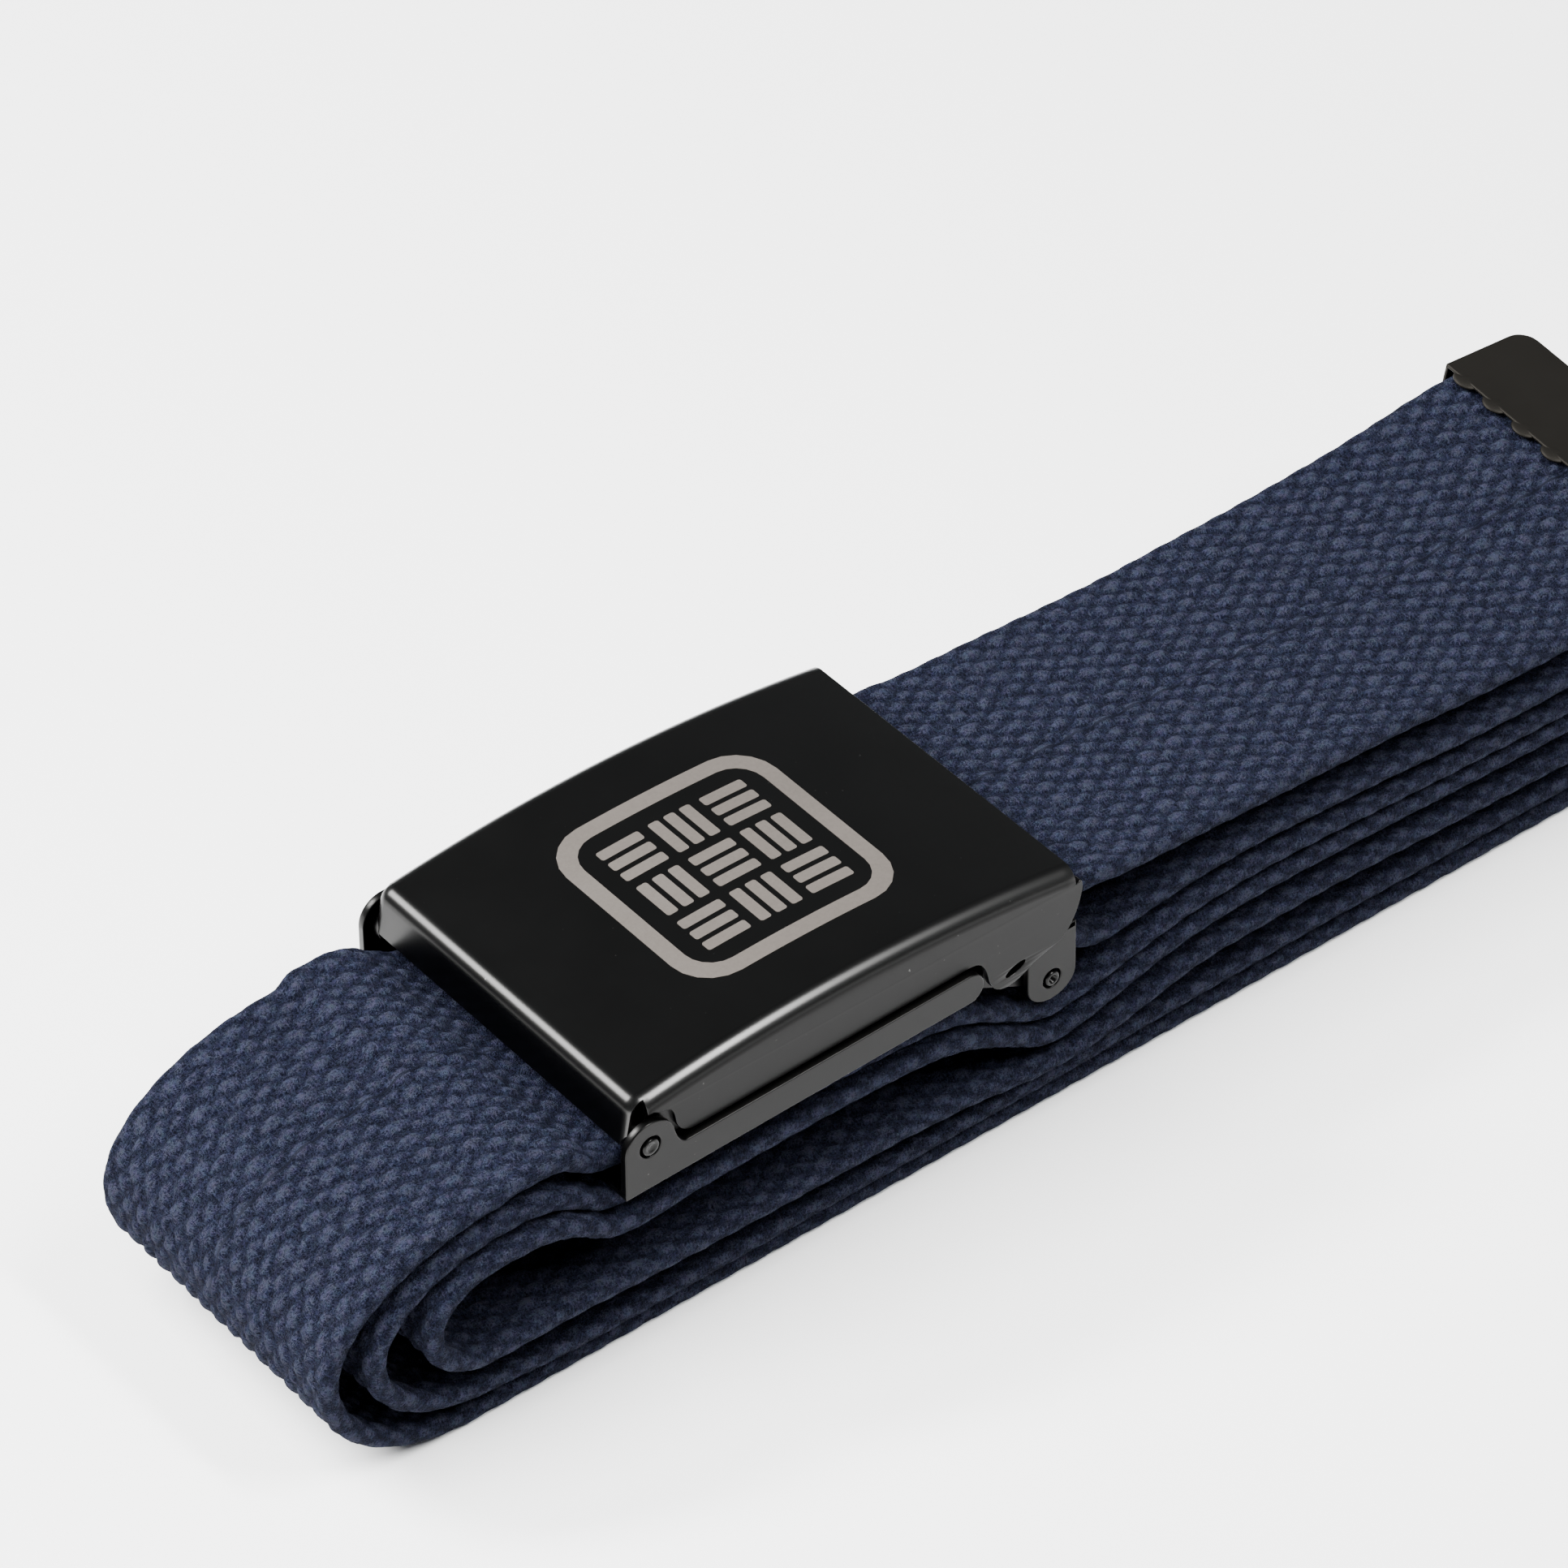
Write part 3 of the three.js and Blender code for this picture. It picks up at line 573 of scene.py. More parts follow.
# Materials

cloth = {
    # the four stops run from painted shade in the weave's pits to painted light on the floats' tops
    "shadedPit": rgb(0.0004, 0.0006, 0.0017),
    "shade": rgb(0.0032, 0.0038, 0.0092),
    "body": rgb(0.0105, 0.0122, 0.0252),
    "top": rgb(0.0275, 0.0305, 0.0500),
    "lint": rgb(0.075, 0.078, 0.095),
    # the relief's share paints shade into the pits and light onto the floats
    "reliefShading": 0.58,      # how far each of these lightens the cloth
    "strandTone": 1.0,
    "patchTone": 0.25,
    "evenTone": -0.195,
    "ply": 0.36,             # width of one ply, mm
    "bump": 0.00026,
}


def webCloth():
    material, make = newMaterial("navyDoubleWeave")
    along = make.attribute("along")
    across = make.attribute("across")
    relief = make.attribute("relief")

    def noise(scale, detail, rough=0.5, stretch=(1.0, 1.0), shift=0.0, out=0):
        spot = make.point(along * stretch[0], across * stretch[1], shift)
        return make.noise(spot, scale, detail, rough, out)

    patches = noise(0.5, 3.0)
    hues = noise(1.7, 2.0, shift=5.0, out="Color")
    fuzz = noise(6.0, 6.0, 0.75, shift=2.0)
    # plies cross each float, lean a little off the web's width and wander with it
    wander = noise(0.8, 2.0, shift=9.0)
    lean = along * 1.0 + across * 0.3 + wander * 1.6
    plies = (lean * (2 * math.pi / cloth["ply"])).wave() * 0.5 + 0.5
    fibres = noise(4.2, 4.0, 0.7, (1.0, 0.28), 4.0)

    def curls(scale, width, shift):
        # the level lines of a noise wander as loose fibres do
        return (1 - (noise(scale, 2.0, 0.6, shift=shift) - 0.5).size() * width).atLeast(0)

    loose = curls(1.3, 17.0, 20.0).atLeast(curls(2.1, 13.0, 31.0)).atLeast(curls(0.9, 24.0, 43.0))
    strands = plies * 0.14 + fibres * 0.95 + fuzz * 0.65 + loose * 0.5 - 0.585
    # the weave's relief darkens the pits and lightens the floats: painted shade and painted light
    tone = relief * cloth["reliefShading"] + strands * cloth["strandTone"]
    tone = tone + patches * cloth["patchTone"] + cloth["evenTone"]
    body = make.node(
        "ShaderNodeValToRGB",
        {"stops": [(0.0, cloth["shadedPit"]), (0.35, cloth["shade"]), (0.7, cloth["body"]), (1.0, cloth["top"])]},
        {"Fac": tone}, out="Color",
    )
    tinted = make.mixColors(0.26, body, hues, "SOFT_LIGHT")
    lint = noise(2.6, 8.0, 0.85, shift=12.0)
    speck = make.ramp(lint, 0.64, 0.74)
    color = make.mixColors(speck * 0.4, tinted, cloth["lint"])
    height = strands * 0.8 + fuzz * 0.5 + loose * 0.4
    bump = make.bump(height, 1.0, cloth["bump"])
    return closeMaterial(material, make, {
        "Base Color": color, "Roughness": 0.95, "Specular IOR Level": 0.04, "Normal": bump,
        "Sheen Weight": 0.015, "Sheen Roughness": 0.5, "Sheen Tint": rgb(0.5, 0.55, 0.8),
    })


def blackNickel(name, base, roughness, sides, bends):
    material, make = newMaterial(name)
    spot = make.node("ShaderNodeTexCoord", out="Object")
    cloudy = make.noise(spot, 120.0, 4.0)
    specks = make.ramp(make.noise(spot, 1900.0), 0.76, 0.8)
    # the long sides, which face across the belt, get painted shade (a darker base colour), and the bends
    # above them a painted highlight (a lighter base colour)
    normal = make.node("ShaderNodeNewGeometry", out="Normal")
    facing = make.node("ShaderNodeSeparateXYZ", None, {"Vector": normal}, out=1)
    shadedSidesMask = ((facing.size() - 0.8) * 6).atLeast(0).atMost(1)
    litBendsMask = ((facing.size() - 0.12) * 3).atLeast(0).atMost(1)
    # side is the painted shade on the long sides; the bend colour is a painted highlight
    darker, lighter, paintedBendHighlight, side = (rgb(*(v * share for v in base)) for share in (0.9, 1.1, bends, sides))
    paintedHighlightBends = make.mixColors(litBendsMask, make.mixColors(cloudy, darker, lighter), paintedBendHighlight)
    tone = make.mixColors(shadedSidesMask, paintedHighlightBends, side)
    color = make.mixColors(specks * 0.25, tone, rgb(0.25, 0.25, 0.24))
    rough = cloudy * 0.06 + (roughness - 0.03)
    return closeMaterial(material, make, {"Base Color": color, "Metallic": 1.0, "Roughness": rough})


def etchedTan():
    material, make = newMaterial("etchedTan")
    spot = make.node("ShaderNodeTexCoord", out="Object")
    grit = make.noise(spot, 2600.0, 3.0, 0.7)
    mixed = grit * 0.55 + make.noise(spot, 90.0) * 0.45
    color = make.mixColors(mixed, rgb(0.062, 0.054, 0.047), rgb(0.112, 0.099, 0.089))
    return closeMaterial(material, make, {
        "Base Color": color, "Metallic": 0.35, "Roughness": grit * 0.1 + 0.57,
        "Normal": make.bump(grit, 0.3, 0.00003),
    })


# base colour, roughness, and the colour's share on the long sides (painted shade) and on the bends above them
# (painted highlight)
metals = {
    "blackNickelLid": ((0.025, 0.0248, 0.0244), 0.3, 0.26, 2.2),
    "blackNickelFrame": ((0.02, 0.0198, 0.0194), 0.33, 0.46, 1.0),
    "blackNickelPins": ((0.016, 0.016, 0.0157), 0.3, 0.8, 1.0),
    "brownBlackTip": ((0.029, 0.0268, 0.0235), 0.6, 1.0, 1.0),
}
clothMaterial = webCloth()
lidMetal, frameMetal, pinMetal, tipMetal = (blackNickel(name, *finish) for name, finish in metals.items())
emblemMetal = etchedTan()
print("materials made")


# Web

def ringShape(perColumn):
    # points round the web's section: outer face, edge, inner face, edge, evenly spaced
    w, t, e = web["width"] / 2, halfWeb, web["edgeRound"]
    corner = [(w - e + e * math.sin(a), -t + e - e * math.cos(a)) for a in np.linspace(0, math.pi / 2, 16)]
    outline = corner + [(x, -z) for x, z in reversed(corner)]
    outline += [(-x, -z) for x, z in outline]
    outline = np.array(outline + outline[:1])
    steps = np.linalg.norm(np.diff(outline, axis=0), axis=1)
    lengths = np.concatenate([[0.0], np.cumsum(steps)])
    columns = 2 * round(lengths[-1] / web["columnPitch"] / 2)
    count = columns * perColumn
    around = np.arange(count) / count * lengths[-1]
    # the middle of the outer face is a column's middle
    start = lengths[-1] - (w - e)
    at = (start + around) % lengths[-1]
    section = np.stack([np.interp(at, lengths, outline[:, k]) for k in (0, 1)], 1)
    ahead = np.roll(section, -1, 0) - np.roll(section, 1, 0)
    out = np.stack([ahead[:, 1], -ahead[:, 0]], 1)
    out /= np.linalg.norm(out, axis=1, keepdims=True)
    return section, out, np.arange(count) / perColumn, around


weave = {
    "thick": (0.68, 0.64),   # half sizes of a float, as shares of the space between the floats,
    "thin": (0.52, 0.54),    # across and along the web
    "thinHeight": 0.8,
    "height": 0.85,          # a float's height on average, as a share of the relief
    "wobble": 0.9,           # how much a noise changes it from float to float
    "lumps": 0.4,            # and how much a finer one changes it within a float
    "fine": (0.5, 4),        # rows this far apart in mm, and points to a warp column
    "coarse": (0.8, 3),
}


def weaveTree():
    tree, make, entry = newTree("doubleWeave", ("Weft Pitch", "Relief", "Sink", "Edge Share"), "Cloth")

    def named(name, kind="FLOAT"):
        return make.node("GeometryNodeInputNamedAttribute", {"data_type": kind}, {"Name": name})

    def noise(scale, detail, shift):
        return make.noise(make.point(named("along"), named("column") * 1.2, shift), scale, detail) - 0.5

    # the lattice wanders a little, so that no two floats are alike
    across = (named("column") + noise(0.5, 1.0, 0.0) * 0.9) * 0.5
    along = (named("along") + noise(0.45, 1.0, 7.0) * 1.5) / (entry["Weft Pitch"] * 2)
    # distance from the nearest thick column and from the middle of its float, both 0 to 1
    fromThick = ((across + 0.5).fraction() - 0.5).size() * 2
    fromMiddle = ((along + 0.5).fraction() - 0.5).size() * 2

    def dome(aside, ahead, size):
        return (1 - (aside / size[0]) ** 2 - (ahead / size[1]) ** 2).atLeast(0).root()

    thick = dome(fromThick, fromMiddle, weave["thick"])
    thin = dome(1 - fromThick, 1 - fromMiddle, weave["thin"]) * weave["thinHeight"]
    swell = noise(0.6, 2.0, 3.0) * weave["wobble"] + weave["height"]
    height = thick.atLeast(thin) * swell + noise(2.2, 3.0, 11.0) * weave["lumps"]
    height = height.atLeast(-0.1).atMost(1.1)
    share = named("flatness") * (1 - entry["Edge Share"]) + entry["Edge Share"]
    lift = (height * entry["Relief"] - entry["Sink"]) * share
    shift = make.node(
        "ShaderNodeVectorMath", {"operation": "SCALE"},
        {0: named("outward", "FLOAT_VECTOR"), "Scale": lift * 0.001},
    )
    stored = make.node(
        "GeometryNodeStoreNamedAttribute", {"data_type": "FLOAT", "domain": "POINT"},
        {"Geometry": entry["Geometry"], "Name": "relief", "Value": height},
    )
    # what lies on the floor is pressed flat there
    place = make.node("ShaderNodeVectorMath", None, {0: make.node("GeometryNodeInputPosition"), 1: shift})
    rested = make.node("ShaderNodeVectorMath", {"operation": "MAXIMUM"}, {0: place, 1: (-9.0, -9.0, 0.00001)})
    moved = make.node("GeometryNodeSetPosition", None, {"Geometry": stored, "Position": rested})
    closeTree(make, moved, entry["Cloth"])
    return tree


def webStretch(name, even, points, start, end, step, perColumn, tree):
    section, out, column, around = ringShape(perColumn)
    count = max(int(round((end - start) / step)), 4)
    along = np.linspace(start, end, count + 1)
    x, z, aside, twist, raised = (np.interp(along, even, line) for line in points.T)
    near = 0.3   # the web's direction is taken over this far each way
    ahead = np.stack([
        np.interp(along + near, even, line) - np.interp(along - near, even, line) for line in points.T[:2]
    ], 1)
    ahead /= np.linalg.norm(ahead, axis=1, keepdims=True)
    c, s = np.cos(twist)[:, None], np.sin(twist)[:, None]

    def turned(pairs):
        y = pairs[None, :, 0] * c - pairs[None, :, 1] * s
        lift = pairs[None, :, 0] * s + pairs[None, :, 1] * c
        return np.stack([-ahead[:, 1:2] * lift, y, ahead[:, 0:1] * lift], -1)

    rings = turned(section) + np.stack([x, aside, z], 1)[:, None, :]
    far = np.clip(section[:, 0] / web["width"] + 0.5, 0, 1)
    liftShare = web["nearShare"] + (1 - web["nearShare"]) * far * far * (3 - 2 * far)
    rings[..., 2] += raised[:, None] * liftShare[None, :]
    outward = turned(out)
    size = len(section)
    rows = len(along)
    index = np.arange(rows * size).reshape(rows, size)
    a, b = index[:-1], np.roll(index[:-1], -1, 1)
    d, e = index[1:], np.roll(index[1:], -1, 1)
    quads = np.stack([a, d, e, b], -1).reshape(-1, 4).tolist()
    caps = [index[0].tolist(), index[-1][::-1].tolist()]
    piece = meshObject(name, rings.reshape(-1, 3), quads + caps)
    mesh = piece.data
    mesh.polygons.foreach_set("use_smooth", np.arange(len(mesh.polygons)) < len(quads))
    inward = np.clip((web["width"] / 2 - np.abs(section[:, 0])) / web["selvedge"], 0.0, 1.0)
    fields = {
        "along": np.repeat(along, size), "column": np.tile(column, rows), "across": np.tile(around, rows),
        "flatness": np.tile(np.abs(out[:, 1]) * inward, rows),
    }
    for key, values in fields.items():
        mesh.attributes.new(key, "FLOAT", "POINT").data.foreach_set("value", values.astype(np.float32))
    mesh.attributes.new("outward", "FLOAT_VECTOR", "POINT").data.foreach_set(
        "vector", outward.reshape(-1, 3).astype(np.float32).ravel())
    applyTree(piece, tree, {
        "Weft Pitch": web["weftPitch"], "Relief": web["relief"], "Sink": web["sink"],
        "Edge Share": web["edgeShare"], "Cloth": clothMaterial,
    })
    for key in ("column", "outward", "flatness"):
        piece.data.attributes.remove(piece.data.attributes[key])
    return piece


def makeWeb():
    even, points = webRoute()
    total = float(even[-1])
    tree = weaveTree()
    # places along the web where one stretch hands over to the next, and how finely each is woven
    overLid = float(even[np.argmax(points[:, 0] < lidRear - web["underLid"])])
    lowest = (points[:, 0] > web["pastFold"]) & (points[:, 1] < 2 * web["thickness"])
    underReturn = float(even[np.argmax((even > overLid) & lowest)])
    rest = (total - underReturn) / 3
    stretches = [
        ("webFreeEnd", 0.0, overLid, "fine"),
        ("webFrontFold", overLid, underReturn, "fine"),
        ("webReturns", underReturn, underReturn + rest, "coarse"),
        ("webInnerRuns", underReturn + rest, underReturn + 2 * rest, "coarse"),
        ("webFixedEnd", underReturn + 2 * rest, total, "coarse"),
    ]
    made = []
    for name, start, end, fineness in stretches:
        piece = webStretch(name, even, points, start, end, *weave[fineness], tree)
        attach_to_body(piece, "belt")
        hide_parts("web_strap")
        made.append((piece, end - start))
    for i, (piece, length) in enumerate(made):
        beside = made[i - 1 if i else 1][0].name
        length / 1000
    print("web woven:", round(total), "mm,", sum(len(p.data.polygons) for p, _ in made), "faces")


# Frame and pins

buckle = {
    "start": 34.8,
    "plate": 0.9,
    "half": 22.0,
    "railLength": 45.6,
    "railHeight": 3.7,
    "slope": math.radians(1.5),
    "hingeInset": 3.1,
    "pinSpan": 53.3,
    "earRadius": 3.1,
    "pinRadius": 1.0,
    "pinGap": 0.3,
    "pinLift": 0.8,
    "turnGap": 0.35,
    "webDips": 4.0,
    "webSettles": 1.4,
    "webLeaves": 0.35,
    "webExit": 5.0,
    "throat": 1.5,           # the rail's top turns up into the ear over this length
    "throatGap": 0.35,
    "throatAngle": 0.3,
    "floorInset": 0.05,
    "railEdge": 0.26,        # rounding of the sheet metal's edges
    "floorEdge": 0.15,
    "earEdge": 0.14,
}
clamp = {
    "earWidth": 6.4,
    "earRadius": 2.8,
    "earDrop": 5.4,
    "earSide": 0.8,
    "pinRadius": 0.9,
    "length": 10.8,
    "lead": 1.2,
    "barrel": 1.5,
    "fixedRise": 8.0,
}

hingeX = buckle["start"] + buckle["hingeInset"]
clampPinX = hingeX + buckle["pinSpan"]
fixedRunStart = clampPinX - clamp["length"] - clamp["lead"]
rise = math.tan(buckle["slope"])
low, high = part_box("hinge_pin")
hingeZ = (low.z + high.z) * 500
webBed = buckle["plate"] + bundle["layerGap"] + web["thickness"]
frameBottom = hingeZ - buckle["hingeInset"] * rise - webBed - buckle["pinLift"] - buckle["pinRadius"]
clampPinZ = frameBottom + (clampPinX - buckle["start"]) * rise - clamp["earDrop"]


def makeFrame():
    t, half = buckle["plate"], buckle["half"]
    pinX, pinZ = toFrameAxes(hingeX, hingeZ)
    clampX, clampZ = toFrameAxes(clampPinX, clampPinZ)
    height = buckle["railHeight"]
    roundEnd = height / 2
    side = [(0.0, 0.0)]
    side += arc(buckle["railLength"] - roundEnd, roundEnd, roundEnd, -math.pi / 2, math.pi / 2, 20)
    radius = buckle["earRadius"]
    earPoints = arc(pinX, pinZ, radius, buckle["throatAngle"], math.pi, 24)
    side.append((pinX + radius + buckle["throat"], height))
    curveTo(side, (pinX + radius + buckle["throatGap"], height), earPoints[0], 6)
    side += earPoints[1:]
    bore = arc(pinX, pinZ, buckle["pinRadius"] + buckle["pinGap"], 0, 2 * math.pi, 32)[:-1]
    floorEnd, floorHalf = buckle["railLength"] - roundEnd / 2, half - buckle["floorInset"]
    floor = [(0, 0), (floorEnd, 0), (floorEnd, t), (0, t)]
    rearStart, rearEnd = buckle["railLength"] / 2, clampX + clamp["earWidth"] / 2
    rearFloor = [(rearStart, 0), (rearEnd, 0), (rearEnd, t), (rearStart, t)]
    earHalf = clamp["earWidth"] / 2
    ear = [(clampX + earHalf, t), (clampX - earHalf, t), (clampX - earHalf, clampZ)]
    ear += arc(clampX, clampZ, earHalf, math.pi, 2 * math.pi, 20, clamp["earRadius"] / earHalf)[1:]
    earBore = arc(clampX, clampZ, clamp["pinRadius"] + buckle["pinGap"], 0, 2 * math.pi, 28)[:-1]
    earOuter = lid["half"] - t - buckle["turnGap"]
    earInner = earOuter - clamp["earSide"]
    pieces = [
        plate("floor", floor, [], (-floorHalf, floorHalf), buckle["floorEdge"], frameAxes),
        plate("rearFloor", rearFloor, [], (-earOuter, earOuter), buckle["floorEdge"], frameAxes),
    ]
    for sign in (-1, 1):
        rail, lug = (sign * (half - t), sign * half), (sign * earInner, sign * earOuter)
        pieces.append(plate("rail", side, [bore], rail, buckle["railEdge"], frameAxes))
        pieces.append(plate("ear", ear, [earBore], lug, buckle["earEdge"], frameAxes))
    whole = joinPieces("buckleFrame", pieces)
    whole.data.materials.append(frameMetal)
    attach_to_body(whole, "belt")
    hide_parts("buckle_frame")
    print("frame made:", len(whole.data.polygons), "faces")


# Pins: turned rods with eased, hollowed ends

def makePin(name, node, radius, hollow):
    low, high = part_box(node)
    x, z = (low.x + high.x) * 500 + bundle["middle"], (low.z + high.z) * 500
    half = (high.y - low.y) * 500
    # the end's hollow, its rim and its eased outer edge, as radius and place
    profile = [(0.0, half - hollow), (radius * 0.45, half - hollow), (radius * 0.55, half - 0.04)]
    profile += [(radius * 0.66, half), (radius - 0.18, half)]
    profile += [(radius - 0.06, half - 0.05), (radius, half - 0.18)]
    profile += [(r, -y) for r, y in reversed(profile)]
    # rings of points; those at the middle of an end are joined into one
    count = 40
    angles = [2 * math.pi * k / count for k in range(count)]
    points = [(x + r * math.cos(a), y, z + r * math.sin(a)) for r, y in profile for a in angles]
    faces = [
        (i + k, i + count + k, i + count + (k + 1) % count, i + (k + 1) % count)
        for i in range(0, len(points) - count, count) for k in range(count)
    ]
    piece = meshObject(name, points, faces)
    body = opened(piece)
    bmesh.ops.remove_doubles(body, verts=body.verts, dist=0.000001)
    bmesh.ops.recalc_face_normals(body, faces=body.faces)
    shadeSmooth(closed(body, piece.data))
    piece.data.materials.append(pinMetal)
    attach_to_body(piece, "belt")
    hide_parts(node)


# Lid

lid = {
    "length": 56.6,
    "half": 21.3,
    "arch": 2.2,
    "height": 5.0,
    "overhang": 1.6,
    "lipDepth": 5.0,
    "lipLean": 0.6,
    "bend": 1.9,
    "cheekDrop": 5.4,
    "rearSwell": 0.9,
    "tabWall": 0.8,
    "tabReach": 5.0,
    "tabEdge": 0.1,
    "tabSink": 0.1,          # the tabs end this far under the lid's wall
    "cheekEase": 1.3,        # the flange's foot ends this far before the cheek
    "slotAt": (0.36, 0.65),  # shares of the cheek
    "slotHalf": 1.4,
    "slotFlat": 0.36,
    "slotTurn": 0.35,
    "firstRow": 3.0,         # the top's rows of points begin this far behind the pin
    "rows": 48,
    "columns": 19,
    "bendSteps": 8,
    "lipWraps": 3,           # bend rows that the lip reaches round the corner
    "edge": 0.2,
}
lidFront = hingeX - lid["overhang"]
lidRear = lidFront + lid["length"]
lidTop = hingeZ + lid["height"]


def archTop(x):
    u = (x - lidFront) / lid["length"]
    return lidTop + 4 * lid["arch"] * u * (1 - u)


def railTop(x):
    return floorUnder(x) + buckle["railHeight"] / math.cos(buckle["slope"])


def flangeFoot(x):
    return railTop(x) + buckle["turnGap"]


def sideOutline():
    # the lid's side below its bend, from the front notch past the ear and round the cheek
    railEnd = buckle["start"] + buckle["railLength"]
    rearFoot = flangeFoot(railEnd)
    flange = lidTop - rearFoot
    cheekFront = railEnd + buckle["turnGap"]
    cheek = lidRear - cheekFront
    earEnd = hingeX + buckle["earRadius"]
    frontFoot = flangeFoot(earEnd + buckle["earRadius"])

    def cheekAt(u, w):
        return cheekFront + u * cheek, rearFoot - w * lid["cheekDrop"]

    def earAt(u, w):
        return earEnd + u * buckle["earRadius"], frontFoot + w * (lidTop - frontFoot)

    forward = [(hingeX + buckle["pinRadius"], lidTop - lid["bend"])]
    curveTo(forward, earAt(0.12, 0.75), earAt(0.18, 0.40))
    curveTo(forward, earAt(0.26, 0.0), earAt(1.0, 0.0))
    footEnd = cheekFront - lid["cheekEase"]
    forward.append((footEnd, flangeFoot(footEnd)))
    curveTo(forward, cheekAt(0.02, 0.04), cheekAt(0.06, 0.48))
    curveTo(forward, cheekAt(0.10, 1.0), cheekAt(0.28, 1.0))
    curveTo(forward, cheekAt(0.44, 0.96), cheekAt(0.54, 0.76))
    curveTo(forward, cheekAt(0.71, 0.63), cheekAt(0.86, 0.54))
    rear = lidRear + lid["rearSwell"]
    swell = (lidRear + lid["rearSwell"] / 2, rearFoot - buckle["plate"])
    curveTo(forward, swell, (rear, lidTop - flange / 2))
    curveTo(forward, (rear, lidTop - buckle["plate"]), (lidRear, lidTop - lid["bend"]), 6)
    slotX, slotZ = cheekAt(*lid["slotAt"])
    c, s = math.cos(lid["slotTurn"]), math.sin(lid["slotTurn"])
    level = arc(0.0, 0.0, lid["slotHalf"], 0, 2 * math.pi, 24, lid["slotFlat"])[:-1]
    slot = [(slotX + x * c - z * s, slotZ + x * s + z * c) for x, z in level]
    return forward, slot


def makeLid():
    t, r, half = buckle["plate"], lid["bend"], lid["half"]
    forward, slot = sideOutline()
    body = bmesh.new()
    frontX = lidFront + r
    xs = [frontX, hingeX + buckle["pinRadius"]]
    xs += list(np.linspace(hingeX + lid["firstRow"], lidRear, lid["rows"]))
    bendSteps = lid["bendSteps"]
    angles = np.linspace(math.pi / 2, 0, bendSteps + 1)
    across = [(-half + r - r * math.sin(a), r - r * math.cos(a)) for a in angles]
    across += [(y, 0.0) for y in np.linspace(-half + r, half - r, lid["columns"])[1:-1]]
    across += [(half - r + r * math.sin(a), r - r * math.cos(a)) for a in reversed(angles)]
    grid = [[body.verts.new((x, y, archTop(x) - drop)) for y, drop in across] for x in xs]
    for i in range(len(xs) - 1):
        for j in range(len(across) - 1):
            body.faces.new((grid[i][j], grid[i + 1][j], grid[i + 1][j + 1], grid[i][j + 1]))
    # the front bend and lip
    lean = math.atan2(lid["lipLean"], lid["lipDepth"] - r)
    reach = slice(bendSteps - lid["lipWraps"], len(across) - bendSteps + lid["lipWraps"])
    row, rowAcross = grid[0][reach], across[reach]
    centre = archTop(frontX) - r
    turn = math.pi / 2 - lean
    lipAngles = np.linspace(0, turn, bendSteps + 1)[1:]
    arcSteps = [(frontX - r * math.sin(a), centre + r * math.cos(a), a) for a in lipAngles]
    last = arcSteps[-1]
    foot = (lidFront - lid["lipLean"], lidTop - lid["lipDepth"])
    for u in (0.25, 0.5, 0.75, 1):
        arcSteps.append((last[0] + (foot[0] - last[0]) * u, last[1] + (foot[1] - last[1]) * u, turn))
    for x, z, a in arcSteps:
        below = [body.verts.new((x + drop * math.sin(a), y, z - drop * math.cos(a))) for y, drop in rowAcross]
        for j in range(len(row) - 1):
            body.faces.new((below[j], row[j], row[j + 1], below[j + 1]))
        row = below
    # the two sides, hung on the bends
    for side, column in ((-1, 0), (1, len(across) - 1)):
        top = [grid[i][column] for i in range(1, len(xs))]
        rim = [body.verts.new((x, side * half, z)) for x, z in forward[1:-1]]
        loop = top + rim[::-1]
        hole = [body.verts.new((x, side * half, z)) for x, z in slot]
        everyVertex = loop + hole
        for face in fillLoops([[(v.co.x, v.co.z) for v in ring] for ring in (loop, hole)]):
            corners = [everyVertex[k] for k in face]
            normal = (corners[1].co - corners[0].co).cross(corners[2].co - corners[0].co)
            if normal.length < 1e-9:
                continue
            if normal.y * side < 0:
                corners.reverse()
            body.faces.new(corners)
    bmesh.ops.recalc_face_normals(body, faces=body.faces)
    if sum(f.normal.z * f.calc_area() for f in body.faces) < 0:
        bmesh.ops.reverse_faces(body, faces=body.faces)
    for vertex in body.verts:
        vertex.co = Vector(place(vertex.co))
    shell = linked("buckleLid", closed(body, bpy.data.meshes.new("buckleLid")))
    wall = shell.modifiers.new("wall", "SOLIDIFY")
    wall.thickness = t / 1000
    wall.offset = -1
    wall.use_even_offset = True
    plainMesh(shell)
    softEdges(shell, lid["edge"], angle=50)
    # hinge tabs inside the ears
    tabRadius = buckle["pinRadius"] + buckle["pinGap"] + lid["tabWall"]
    tabEnd = hingeX + buckle["earRadius"] + lid["tabReach"]
    tab = arc(hingeX, hingeZ, tabRadius, math.pi / 2, math.pi * 1.5, 18)
    tabFoot = flangeFoot(buckle["start"] + buckle["railLength"]) + buckle["turnGap"]
    tabTop = lidTop - t - lid["tabSink"]
    tab += [(tabEnd, tabFoot), (tabEnd, tabTop), (hingeX + buckle["pinRadius"], tabTop)]
    bore = arc(hingeX, hingeZ, buckle["pinRadius"] + buckle["pinGap"], 0, 2 * math.pi, 28)[:-1]
    tabOuter = buckle["half"] - t - buckle["turnGap"]
    pieces = [shell]
    for ends in ((-tabOuter, t - tabOuter), (tabOuter - t, tabOuter)):
        pieces.append(plate("tab", tab, [bore], ends, lid["tabEdge"]))
    whole = joinPieces("buckleLid", pieces)
    whole.data.materials.append(lidMetal)
    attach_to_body(whole, "lid")
    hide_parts("buckle_lid")
    print("lid made:", len(whole.data.polygons), "faces")


# Emblem: a rounded frame round a basket pattern of short bars, etched into the lid's top

